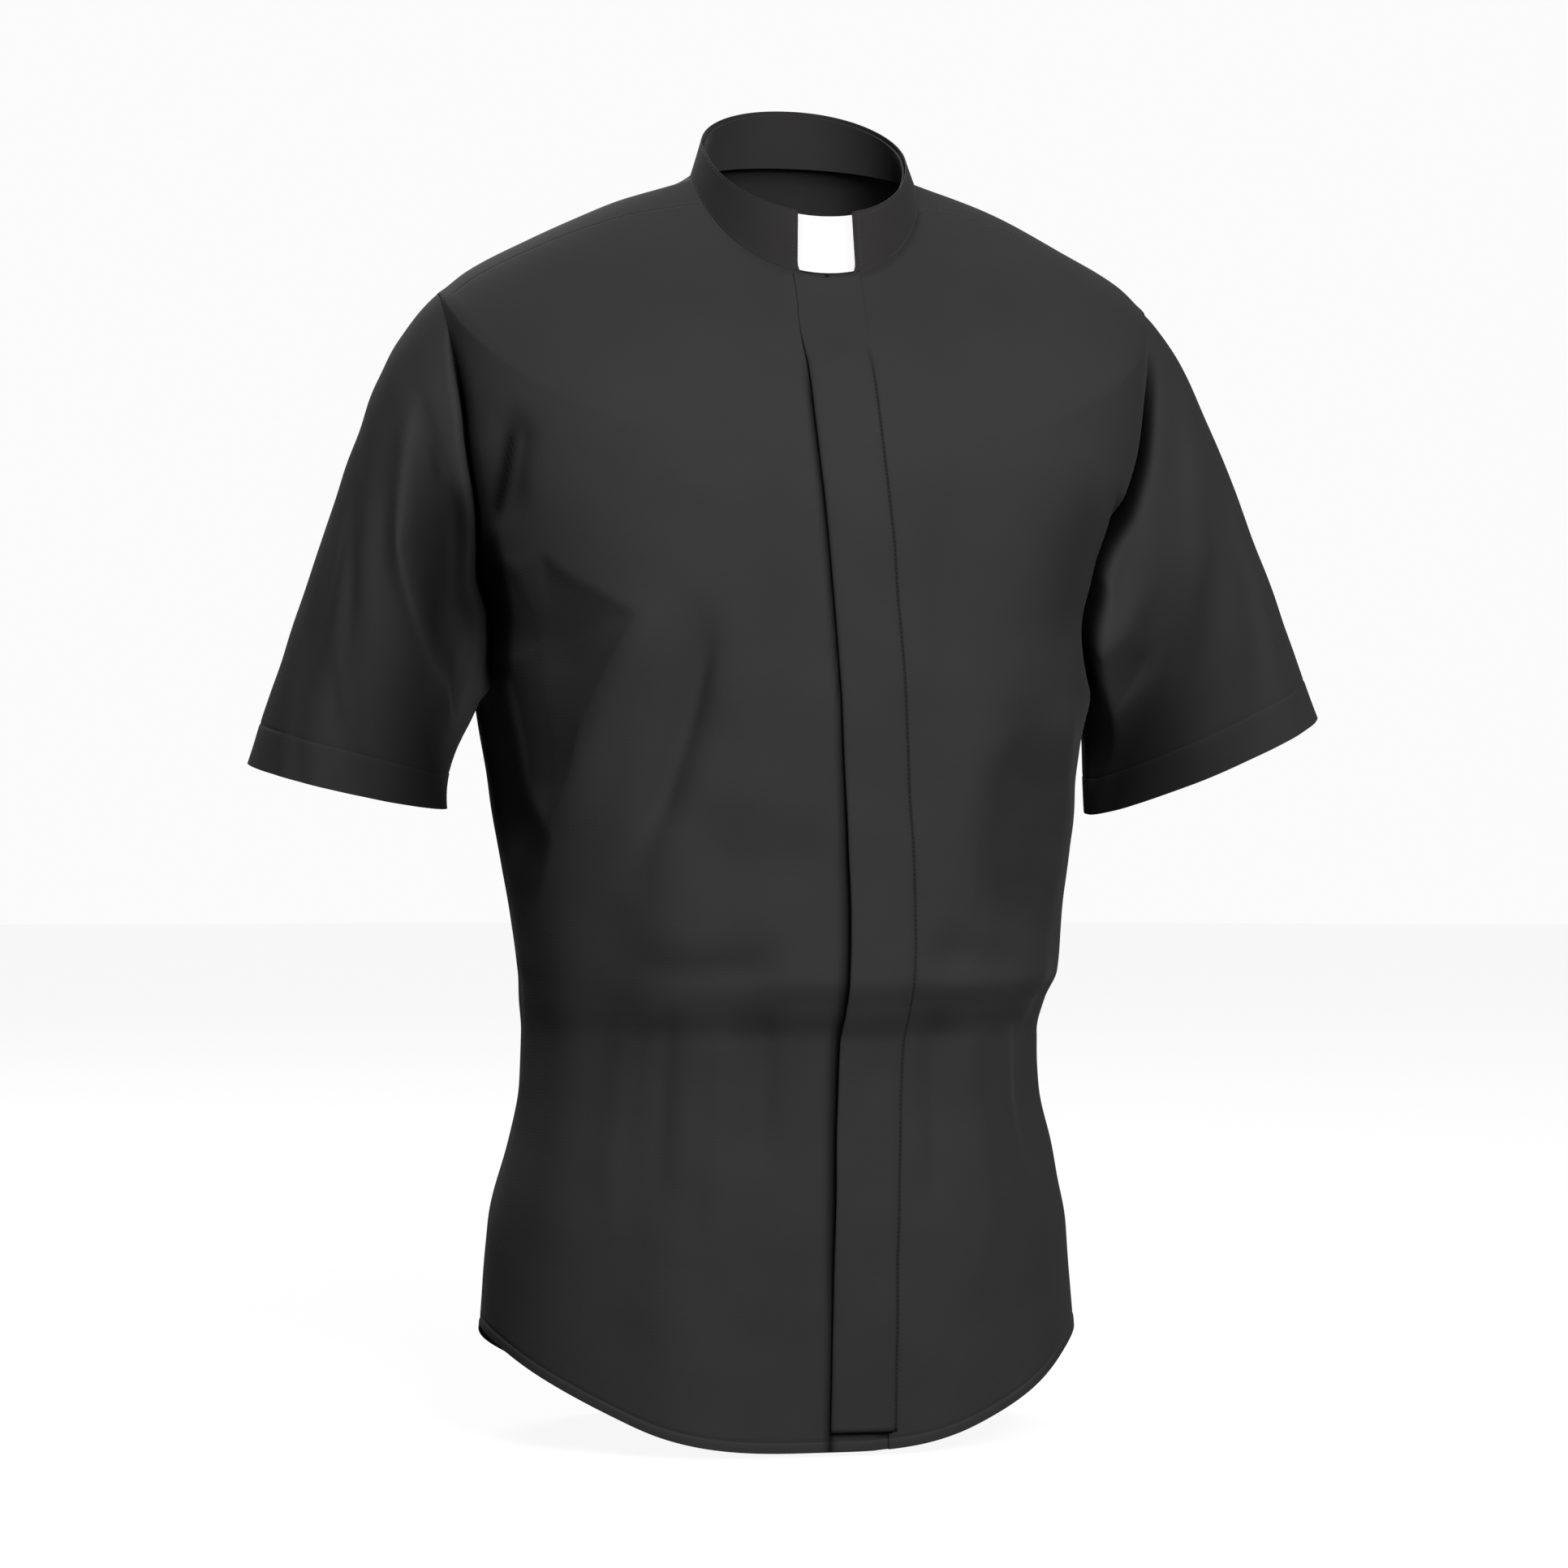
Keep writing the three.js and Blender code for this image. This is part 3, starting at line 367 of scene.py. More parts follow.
class Figure:
    """The form that the body of the shirt is worn on, as rings from the neck seam down to below the hem."""

    KEYS = (
        "drop", "half", "sideZ", "front", "frontZ", "back", "backZ", "square", "blend", "lean", "opening",
        "gather",
    )
    # Rings from the neck seam to the underarm, with a value for each of those keys but the last
    SHOULDER_RINGS = (
        (0, 70, 1, 70, -64.5, 62, 18, 2.1, 1.1, 0, 0),
        (14, 79, -2, 77, -75, 72, 7, 2.1, 1.2, 0, 0),
        (50, 118, -15, 92, -98, 93, -32, 2.2, 1.4, -2, -1),
        (100, 166, -38, 107, -126, 111, -78, 2.35, 1.6, -4, 1),
        (145, 204, -59, 118, -153, 120, -122, 2.5, 1.6, -6, 2),
        (163, 217, -70.2, 122.3, -167.1, 123.5, -141.3, 2.59, 1.6, -6.8, 2.8),
        (167, 220, -73, 123, -170, 124, -145, 2.6, 1.6, -7, 3),
        (230, 220, -135, 129, -207, 128, -190, 2.7, 1.6, -9, 6),
        (320, 206, -222, 133, -262, 128, -252, 2.6, 1.6, -11, 10),
        (422, 188, -322, 136, -322, 123, -322, 2.5, 1.6, -13.5, 14),
    )
    # Level rings below them: z, half, front, back, square, lean, opening, gather
    BODY_RINGS = (
        (-345, 184, 136, 121, 2.45, -14, 15, 0.3),
        (-410, 175, 137, 117, 2.4, -13, 18, 1),
        (-460, 168, 139, 117, 2.4, -12, 19, 2),
        (-485, 165, 140, 118, 2.4, -12, 18, 3),
        (-502, 160, 134, 112, 2.4, -16, 17, 3.5),
        (-522, 156, 125, 103, 2.4, -19, 15, 4),
        (-555, 158, 123, 103, 2.4, -19, 14, 4),
        (-640, 178, 125, 120, 2.4, -18, 12, 2),
        (-770, 186, 124, 128, 2.4, -18, 10, 1.5),
    )
    UNDERARM_DROP = 422.0
    UNDERARM_Z = -322.0
    HEM_Z = -765.0
    HEM_RISE = 65.0
    FOLDS = {
        Face.FRONT: (
            Fold(-114, -258, -166, -420, 28, 3, 8),
            Fold(-170, -258, -196, -408, 52, -9, 4),
            Fold(-89, -270, -128, -425, 24, -6, -5),
            Fold(-104, -412, -8, -408, 44, -3, 6),
            Fold(112, -330, 116, -472, 52, -8, 3),
            Fold(142, -320, 148, -400, 24, 6, 3),
            Fold(40, -472, 128, -482, 28, -4, -3),
            Fold(-134, -480, -40, -474, 28, -3, 3),
            Fold(-190, -150, -198, -215, 20, -5, 3),
            Fold(60, -190, 78, -330, 36, -3, 5),
        ),
        Face.BACK: (
            Fold(118, -265, 166, -418, 28, 5, -6),
            Fold(-112, -270, -160, -430, 28, 5, 6),
            Fold(-82, -300, -118, -440, 24, -5, 4),
            Fold(86, -285, 122, -446, 26, -5, -4),
            Fold(-30, -380, -10, -490, 30, -4, 2),
            Fold(42, -400, 30, -492, 26, -4, -2),
            Fold(-60, -130, -20, -150, 30, -2, 3),
        ),
    }
    # Finer folds
    CREASES = {
        Face.FRONT: (
            # Drape from under the right armhole: the cloth bends back at its top and long edges
            Hollow((
                (-208, -236), (-192, -242), (-178, -233), (-162, -247), (-124, -270), (-139, -297),
                (-156, -334), (-160, -360), (-184, -430),
            ), 9, 17, 1.0, 0.04, 0.22),
            Crease(-114, -264, -146, -336, -176, -416, 1.4, 12, 5, 1.5, 0.1, 0.4),
            # Trough beside it, and the soft ridge before that
            Crease(-82, -262, -99, -329, -130, -424, -3.2, 6, 15, 2, 0.3, 0.4),
            Crease(-98, -280, -116, -338, -142, -402, 1.5, 8, 12, 4, 0.4, 0.4),
            # Short creases at the armhole
            # The last number of this crease is the shadow painted along it
            Crease(-192, -146, -196, -176, -202, -212, -1.5, 3.2, 4, 1.5, 0.35, 0.1, 0.9),
            # A hollow barely 0.4 mm deep, there to carry a shadow painted down the side under the right
            # armhole
            Hollow((
                (-204, -204), (-195, -240), (-188, -270), (-187, -310), (-179, -345), (-173, -380),
                (-168, -404), (-171, -430), (-176, -470),
            ), 0.4, 1, 3, 0.1, 0.34, 70, 0.9),
            Crease(-204, -150, -203, -180, -208, -204, 2, 6, 6, 3, 0.4, 0.3),
            # These two creases have shadows painted along them
            Crease(172, -184, 147, -238, 140, -303, -3, 12, 20, 5, 0.3, 0.4, 0.3),
            Crease(179, -196, 176, -216, 164, -246, -6, 2.4, 3.4, 0.8, 0.15, 0.3, 0.5),
            # The cloth blouses over the waist on the right
            Crease(-128, -404, -69, -394, 0, -398, -1.2, 16, 22, 4, 0.45, 0.5),
            Crease(-136, -448, -84, -462, -24, -456, 1.6, 16, 12, 4, 0.45, 0.45),
            Crease(-132, -474, -86, -484, -30, -474, -1.8, 9, 10, 3, 0.4, 0.45),
            # Hollow on the left, with shade painted in it, and the soft fold beside it
            Hollow((
                (74, -470), (77, -430), (83, -376), (101, -346), (128, -318),
            ), 8, 26, 2, 0.3, 0.3, 70, 0.35),
            Crease(116, -326, 78, -376, 70, -438, 1.2, 10, 14, 2, 0.3, 0.35),
            # Long soft ones beside the fly
            Crease(57, -204, 58, -262, 63, -330, -1.2, 7, 9, 3, 0.4, 0.4),
            Crease(-46, -230, -52, -300, -60, -372, -1.2, 12, 16, 6, 0.4, 0.4),
            Crease(-120, -96, -104, -128, -96, -170, -1.2, 14, 18, 6, 0.4, 0.4),
            # Shirt tail, gathered by the waist
            Crease(-128, -500, -136, -570, -142, -668, 4, 9, 12, 3, 0.15, 0.5),
            Crease(-104, -496, -108, -556, -112, -640, -3.5, 8, 8, 2, 0.15, 0.5),
            Crease(-74, -502, -76, -580, -82, -690, 3.5, 10, 9, 3, 0.15, 0.5),
            Crease(-50, -498, -50, -548, -53, -610, -2.5, 7, 8, 2, 0.2, 0.5),
            Crease(52, -500, 56, -560, 58, -640, -3, 8, 8, 2, 0.15, 0.5),
            Crease(76, -498, 84, -580, 92, -690, 3.5, 10, 12, 3, 0.15, 0.5),
            Crease(112, -500, 122, -560, 128, -650, -3.5, 8, 10, 2, 0.15, 0.5),
            Crease(134, -502, 142, -560, 150, -640, 3, 8, 8, 2, 0.2, 0.5),
        ),
        Face.BACK: (
            Crease(176, -214, 140, -262, 122, -338, 4, 12, 26, 1.8, 0.25, 0.4),
            Crease(158, -238, 120, -300, 108, -380, -3.5, 8, 11, 2, 0.3, 0.4),
            Crease(178, -260, 160, -330, 168, -410, 3.5, 12, 10, 2.5, 0.3, 0.3),
            Crease(-180, -220, -148, -270, -136, -352, 4, 24, 12, 1.8, 0.25, 0.4),
            Crease(-160, -250, -128, -310, -122, -392, -3.5, 11, 8, 2, 0.3, 0.4),
            Crease(-184, -280, -172, -350, -176, -420, 3, 10, 12, 2.5, 0.3, 0.3),
            Crease(-96, -104, -40, -128, 34, -118, -1.8, 16, 12, 5, 0.4, 0.4),
            Crease(-150, -452, -96, -462, -38, -452, 3, 12, 9, 2, 0.3, 0.4),
            Crease(-138, -474, -92, -482, -44, -474, -4, 6, 8, 1.2, 0.3, 0.4),
            Crease(24, -446, 78, -458, 140, -450, 3.5, 13, 9, 2, 0.35, 0.3),
            Crease(40, -468, 84, -478, 132, -470, -4, 6, 8, 1.2, 0.3, 0.4),
            Crease(-16, -330, -8, -400, -14, -470, 2.5, 12, 14, 4, 0.4, 0.3),
            Crease(64, -340, 54, -400, 60, -452, -2.5, 9, 12, 3, 0.4, 0.3),
            Crease(-128, -498, -134, -560, -140, -650, -3.5, 9, 9, 2, 0.15, 0.5),
            Crease(-104, -500, -110, -580, -118, -690, 4, 10, 12, 3, 0.15, 0.5),
            Crease(-72, -498, -74, -556, -80, -630, -3, 8, 9, 2, 0.15, 0.5),
            Crease(-34, -502, -36, -590, -42, -700, 3.5, 12, 10, 3, 0.15, 0.5),
            Crease(6, -500, 6, -556, 4, -620, -3, 9, 9, 2, 0.15, 0.5),
            Crease(42, -498, 46, -580, 50, -690, 3.5, 10, 12, 3, 0.15, 0.5),
            Crease(82, -500, 88, -560, 94, -650, -3.5, 9, 9, 2, 0.15, 0.5),
            Crease(116, -500, 122, -570, 130, -670, 3.5, 10, 10, 3, 0.15, 0.5),
        ),
    }
    # Where the cloth lies flat beside the fly
    FLY_REACH = (34.0, 74.0)
    # How near the side seams the folds end, where the ripples start, and how they go on round the body
    SIDE_REACH = 0.22
    RIPPLE_START = 60.0
    RIPPLE_TURN = 0.4
    # The gathers' waves round the body: each one's share, count and start
    GATHERS = ((0.6, 9, 0.7), (0.4, 15, -1.1))
    # How the cloth is drawn in at the armhole seams, and where on the oval, measured from the underarm
    GROOVE_START = (rad(8), rad(40))
    GROOVE_END = (rad(126), rad(156))
    GROOVE_REACH = 45.0
    GROOVE_DEPTH = {Face.FRONT: 17.0, Face.BACK: 5.0}
    GROOVE_WIDTH = {Side.RIGHT: 5.0, Side.LEFT: 2.8}
    GROOVE_WIDTH_LOW = {Side.RIGHT: 15.0, Side.LEFT: 3.4}
    GROOVE_WIDTH_IN_SLEEVE = {Side.RIGHT: 3.0, Side.LEFT: 8.0}
    # The stretch of the oval that has the widths called low
    LOW_START = (rad(12), rad(40))
    LOW_END = (rad(62), rad(100))
    # How wide the shade painted beside those seams is, and how far back round the body the shadows painted in
    # the folds end
    PAINTED_SHADE_WIDTH = {Side.RIGHT: 3.5, Side.LEFT: 3.0}
    PAINTED_SHADE_WIDTH_LOW = {Side.RIGHT: 17.0, Side.LEFT: 3.5}
    PAINTED_SHADE_WIDTH_IN_SLEEVE = {Side.RIGHT: 2.5, Side.LEFT: 13.0}
    PAINTED_SHADOWS_END = 45.0
    # What the grooves are drawn in towards, and how much, beside straight back or forwards
    MIDDLE = np.array([-12.0, 0.0, 0.0])
    INWARD_PULL = 0.2
    OPENINGS = {
        Side.RIGHT: Opening(Side.RIGHT, rad(17), -0.6),
        Side.LEFT: Opening(Side.LEFT, rad(21), 0.9),
    }

    def __init__(self) -> None:
        """Draws a curve down each column of the ring tables."""
        rings = [(*ring, 0) for ring in self.SHOULDER_RINGS]
        rings += [
            (self.level_drop(z), half, z, front, z, back, z, square, 1.6, lean, opening, gather)
            for z, half, front, back, square, lean, opening, gather in self.BODY_RINGS
        ]
        columns = list(zip(*rings))
        self.seams: list[tuple[Array, Array, Array, Array]] = []
        self.ripples = Ripples(seed=5, height=0.55)
        self.curves = {key: Curve(columns[0], values) for key, values in zip(self.KEYS[1:], columns[1:])}

    def level_drop(self, z: float | Array) -> float | Array:
        """The drop of a level ring below the underarm."""
        return self.UNDERARM_DROP + self.UNDERARM_Z - z

    def hem_drop(self, psi: Array | float) -> Array:
        """The drop of the shirt tail's edge, longest at the middle of the front and back."""
        return self.level_drop(self.HEM_Z + self.HEM_RISE * np.abs(np.sin(psi)) ** 4)

    def at(self, key: str, drop: Array | float) -> Array:
        """A column of the rings at a drop."""
        return self.curves[key](drop)

    def reach(self, drop: Array, depth: Array, psi: Array) -> Array:
        """How far a rounded oblong ring reaches from its middle at an angle."""
        square = self.at("square", drop)
        across = np.abs(np.sin(psi)) / self.at("half", drop)
        forward = np.abs(np.cos(psi)) / depth
        return (across**square + forward**square) ** (-1 / square)

    def point(self, psi: Array, drop: Array) -> Array:
        """The outer face of the cloth, with its folds.

        Args:
            psi: The angle from the front, positive to the wearer's left.
            drop: The way down along the cloth from the neck seam.

        Returns:
            Points in mm, along a last axis of three.
        """
        psi, drop = np.broadcast_arrays(np.asarray(psi, float), np.asarray(drop, float))
        is_front = np.cos(psi) >= 0
        depth = np.where(is_front, self.at("front", drop), self.at("back", drop))
        face_z = np.where(is_front, self.at("frontZ", drop), self.at("backZ", drop))
        reach = self.reach(drop, depth, psi)
        turn = (reach * np.abs(np.cos(psi)) / depth) ** self.at("blend", drop)
        z = mix(self.at("sideZ", drop), face_z, turn)
        lean = self.at("lean", drop)
        x = lean + reach * np.sin(psi)
        beside_fly = np.where(is_front, smooth(*self.FLY_REACH, np.abs(x - self.at("opening", drop))), 1)
        away_from_side = smooth(0, self.SIDE_REACH, np.abs(np.cos(psi)))
        folds = np.where(is_front, self.folds(Face.FRONT, x, z), self.folds(Face.BACK, x, z))
        wave = sum(share * np.sin(count * psi + start) for share, count, start in self.GATHERS)
        uneven = self.ripples.relief(x, z + self.RIPPLE_TURN * reach * np.cos(psi))
        uneven = uneven * smooth(0, self.RIPPLE_START, drop)
        reach = reach + folds * away_from_side + self.at("gather", drop) * wave * beside_fly + uneven
        return np.stack([lean + reach * np.sin(psi), -reach * np.cos(psi), z], -1)

    def drawn_in(self, points: Array) -> tuple[Array, Array]:
        """Draws the cloth in beside the armhole seams.

        Args:
            points: Points of the outer face, in mm.

        Returns:
            The points, moved inwards near a seam; and how much shade is painted there, beside the seams and in
            the creases, from 0 to 1.
        """
        if not self.seams:
            for side, opening in self.OPENINGS.items():
                phi = np.linspace(0, 2 * math.pi, 361)
                low = smooth(*self.LOW_START, phi) * (1 - smooth(*self.LOW_END, phi))
                width = mix(self.GROOVE_WIDTH[side], self.GROOVE_WIDTH_LOW[side], low)
                painted_shade_reach = mix(self.PAINTED_SHADE_WIDTH[side], self.PAINTED_SHADE_WIDTH_LOW[side], low)
                self.seams.append((self.point(*opening.place(phi)), self.groove(phi), width, painted_shade_reach))
        flat = points.reshape(-1, 3).copy()
        # Shade painted in the creases, fading out round the back
        in_front = 1 - smooth(0, self.PAINTED_SHADOWS_END, flat[:, 1])
        shade = painted_shadows(self.CREASES[Face.FRONT], flat[:, 0], flat[:, 2]) * in_front
        for line, depth, width, painted_shade_reach in self.seams:
            around = np.ptp(line, axis=0) / 2 + self.GROOVE_REACH
            near = np.where((np.abs(flat - line.mean(0)) < around).all(axis=1))[0]
            if len(near) == 0:
                continue
            gap = np.linalg.norm(flat[near][:, None, :] - line[None, :, :], axis=-1)
            nearest = gap.argmin(1)
            away = gap[np.arange(len(near)), nearest]
            amount = depth[nearest] * bump(away, width[nearest], SLOPE_POWER)
            flat[near] -= self.outwards(flat[near]) * amount[:, None]
            # Shade painted beside the seam, as strong as the groove is deep
            painted_shade_amount = depth[nearest] / self.GROOVE_DEPTH[Face.FRONT] * bump(away, painted_shade_reach[nearest], 3)
            shade[near] = np.maximum(shade[near], painted_shade_amount)
        return flat.reshape(points.shape), np.clip(shade, 0, 1).reshape(points.shape[:-1])

    def outwards(self, points: Array) -> Array:
        """The way out of a groove: forwards or backwards, and a little away from the body's middle."""
        away = unit((points - self.MIDDLE) * (1, 1, 0))
        ahead = np.sign(points[..., 1:2]) * smooth(0, 40, np.abs(points[..., 1:2]))
        return unit(away * self.INWARD_PULL + np.concatenate([0 * ahead, ahead, 0 * ahead], axis=-1))

    def groove(self, phi: Array) -> Array:
        """How deep the armhole seam lies, at an angle of its oval."""
        turn = np.mod(phi, 2 * math.pi)
        from_underarm = np.minimum(turn, 2 * math.pi - turn)
        depth = np.where(turn < math.pi, self.GROOVE_DEPTH[Face.FRONT], self.GROOVE_DEPTH[Face.BACK])
        start = smooth(*self.GROOVE_START, from_underarm)
        return depth * start * (1 - smooth(*self.GROOVE_END, from_underarm))

    def folds(self, face: Face, x: Array, z: Array) -> Array:
        """How far the folds of a face lift the cloth."""
        return sum((fold.relief(x, z) for fold in (*self.FOLDS[face], *self.CREASES[face])), np.zeros_like(x))

    def hemmed(self, points: Array, psi: Array, drop: Array) -> Array:
        """Raises the turned-up hem of the tail, and sinks its row of stitches."""
        up = self.hem_drop(psi) - drop
        out = points.copy()
        low = up < 2 * TAIL_HEM.depth
        out[low] += self.normal(psi[low], drop[low]) * TAIL_HEM.relief(up)[low][:, None]
        return out

    def normal(self, psi: Array, drop: Array) -> Array:
        """The way out of the cloth, measured across small steps."""
        drop = np.asarray(drop, float)
        down = self.point(psi, drop + 0.8) - self.point(psi, np.maximum(0, drop - 0.8))
        round_ = self.point(psi + 0.004, drop) - self.point(psi - 0.004, drop)
        return unit(np.cross(down, round_))

    def angle_at_x(self, x: Array, drop: Array) -> Array:
        """The angle at which a ring of the front passes an X."""
        drop = np.asarray(drop, float)
        lean, depth = self.at("lean", drop), self.at("front", drop)
        low = np.full(np.broadcast(x, drop).shape, rad(-80))
        return bisect(low, -low, lambda psi: lean + self.reach(drop, depth, psi) * np.sin(psi) > x)

    def ridge_angle(self, behind: Array | float, drop: Array) -> Array:
        """The angle round the body of a line that runs at a distance behind the shoulder ridge."""
        return math.pi / 2 + np.arcsin(behind / self.at("half", drop))


class Pattern:
    """The lines along which the panels are cut: the yoke's seams and where they meet the armholes."""

    YOKE_FORWARD = 22.0
    YOKE_BACK_Z = -90.0
    YOKE_BACK_DROPS = (60.0, 300.0)

    def __init__(self, figure: Figure) -> None:
        """Finds where the yoke's seams meet the armholes.

        Args:
            figure: The form that the panels lie on.
        """
        self.figure = figure
        left = figure.OPENINGS[Side.LEFT]

        def is_below(phi: Array) -> Array:
            """Whether a point of the oval is below the back seam."""
            return self.height(left, phi) < self.YOKE_BACK_Z

        self.yoke_back = float(bisect(rad(182), rad(260), is_below))
        self.yoke_front = {side: self.front_corner(opening) for side, opening in figure.OPENINGS.items()}

    def height(self, opening: Opening, phi: Array) -> Array:
        """The height of a point of an armhole's oval."""
        return self.figure.point(*opening.place(phi))[..., 2]

    def front_corner(self, opening: Opening) -> float:
        """The angle of an armhole's oval at which the yoke's front seam meets it."""

        def is_past(phi: Array) -> Array:
            """Whether an angle of the oval is behind the seam."""
            psi, drop = opening.place(phi)
            return np.abs(psi) > self.figure.ridge_angle(-self.YOKE_FORWARD, drop)

        return float(bisect(rad(100), rad(178), is_past))

    def yoke_seam(self, share: Array) -> tuple[Array, Array]:
        """The back seam of the yoke at a share of the way from the left armhole to the right one."""
        left_psi, _ = self.figure.OPENINGS[Side.LEFT].place(self.yoke_back)
        psi = mix(left_psi, 2 * math.pi - left_psi, np.asarray(share, float))

        def is_past(drop: Array) -> Array:
            """Whether the cloth at a drop is below the seam."""
            return self.figure.point(psi, drop)[..., 2] < self.YOKE_BACK_Z

        highest, lowest = (np.full(psi.shape, drop) for drop in self.YOKE_BACK_DROPS)
        return psi, bisect(highest, lowest, is_past)


# Meshes

def stepped(count: int, close: Sequence[float] = (), start: bool = True, end: bool = True) -> Array:
    """Even shares from 0 to 1, with closer ones at its ends.

    Args:
        count: How many even steps there are.
        close: The closer shares, measured from an end.
        start: Whether the start has them.
        end: Whether the end has them.

    Returns:
        The shares, rising.
    """
    shares = list(np.linspace(0, 1, count + 1))
    clear = max(close, default=0) * 1.3
    shares = [s for s in shares if s in (0.0, 1.0) or not close or clear < s < 1 - clear]
    shares += [s for s in close if start] + [1 - s for s in close if end]
    return np.array(sorted(set(shares)))


def sheet_mesh(name: str, points: Array, loop: bool = False, shade: Array | None = None) -> bpy.types.Object:
    """Lays a grid of faces on rows and columns of points.

    Args:
        name: The piece's name.
        points: Points in mm, by row and column.
        loop: Whether the last column joins the first.
        shade: How much shade is painted at each point, from 0 to 1.

    Returns:
        The piece, with a UV map in tenths of a metre along the cloth.
    """
    if loop:
        points = np.concatenate([points, points[:, :1]], axis=1)
        shade = None if shade is None else np.concatenate([shade, shade[:, :1]], axis=1)
    rows, columns = points.shape[:2]
    across = np.linalg.norm(np.diff(points, axis=1), axis=-1)
    along = np.linalg.norm(np.diff(points, axis=0), axis=-1).mean(axis=1)
    u = np.concatenate([np.zeros((rows, 1)), np.cumsum(across, axis=1)], axis=1) / UV_SPAN
    v = np.concatenate([[0], np.cumsum(along)]) / UV_SPAN
    bm = bmesh.new()
    bmesh.ops.create_grid(bm, x_segments=columns - 1, y_segments=rows - 1, size=0.5)
    uv_map = bm.loops.layers.uv.new("cloth")
    # The painted shade at each point, which the cloth's material reads
    painted_shade_amount = bm.verts.layers.float.new("shade")
    place = {}
    for vert in bm.verts:
        i, j = round((vert.co.y + 0.5) * (rows - 1)), round((vert.co.x + 0.5) * (columns - 1))
        place[vert] = (i, j)
    for face in bm.faces:
        face.smooth = True
        for corner in face.loops:
            i, j = place[corner.vert]
            corner[uv_map].uv = (u[i, j], v[i])
    for vert, (i, j) in place.items():
        vert.co = points[i, j] * MM
        vert[painted_shade_amount] = 0 if shade is None else shade[i, j]
    if loop:
        bmesh.ops.remove_doubles(bm, verts=bm.verts, dist=1e-6)
    middle = points[rows // 2]
    hub = middle.mean(axis=0) if loop else points.mean(axis=(0, 1)) * (0, 0, 1)
    bm.faces.ensure_lookup_table()
    face = bm.faces[len(bm.faces) // 2]
    face.normal_update()
    if face.normal.dot(face.calc_center_median() - Vector(hub * MM)) < 0:
        bmesh.ops.reverse_faces(bm, faces=bm.faces)
    return as_object(name, bm)


def as_object(name: str, bm: bmesh.types.BMesh) -> bpy.types.Object:
    """Makes an object at the origin from a bmesh, and frees the bmesh."""
    mesh = bpy.data.meshes.new(name)
    bm.to_mesh(mesh)
    bm.free()
    obj = bpy.data.objects.new(name, mesh)
    bpy.context.scene.collection.objects.link(obj)
    return obj


def thicken(obj: bpy.types.Object, thickness: float) -> None:
    """Gives a sheet its thickness, inwards from the face that is modelled."""
    wall = obj.modifiers.new("thickness", "SOLIDIFY")
    wall.thickness = thickness * MM
    wall.offset = -1
    wall.use_even_offset = False


def tube_normals(points: Array) -> Array:
    """The normals of a tube's rows and columns of points, on one side or the other."""
    padded = np.concatenate([points[:, -1:], points, points[:, :1]], axis=1)
    return unit(np.cross(np.gradient(points, axis=0), padded[:, 2:] - padded[:, :-2]))


# Finishes

def linear(color: str) -> tuple[float, float, float, float]:
    """An sRGB hex colour as linear RGBA."""
    parts = [int(color[k:k + 2], 16) / 255 for k in (0, 2, 4)]
    return (*[p / 12.92 if p <= 0.04045 else ((p + 0.055) / 1.055) ** 2.4 for p in parts], 1.0)


class Finish:
    """A material under way: its nodes and the shader."""

    def __init__(self, name: str, shader: dict[str, object]) -> None:
        """Starts a material.

        Args:
            name: The material's name.
            shader: Values of the shader's sockets.
        """
        self.material = bpy.data.materials.new(name)
        self.material.use_nodes = True
        self.tree = self.material.node_tree
        self.shader = self.tree.nodes["Principled BSDF"]
        for socket, value in shader.items():
            self.shader.inputs[socket].default_value = value

    def add(self, kind: str, links: dict[str, object] | None = None, **settings: object) -> bpy.types.Node:
        """Adds a node.

        Args:
            kind: The node's type.
            links: For each input, the output that feeds it or the value that it gets.
            settings: The node's own settings.

        Returns:
            The node.
        """
        node = self.tree.nodes.new(kind)
        for key, value in settings.items():
            setattr(node, key, value)
        for socket, value in (links or {}).items():
            if isinstance(value, bpy.types.NodeSocket):
                self.tree.links.new(value, node.inputs[socket])
            else:
                node.inputs[socket].default_value = value
        return node

    def wire(self, output: bpy.types.NodeSocket, socket: str) -> None:
        """Feeds an input of the shader."""
        self.tree.links.new(output, self.shader.inputs[socket])

    def raise_grain(self, height: bpy.types.NodeSocket, strength: float, distance: float) -> None:
        """Raises the surface by a pattern's height, over a distance in metres."""
        grain = self.add("ShaderNodeBump", {"Strength": strength, "Distance": distance, "Height": height})
        self.wire(grain.outputs["Normal"], "Normal")


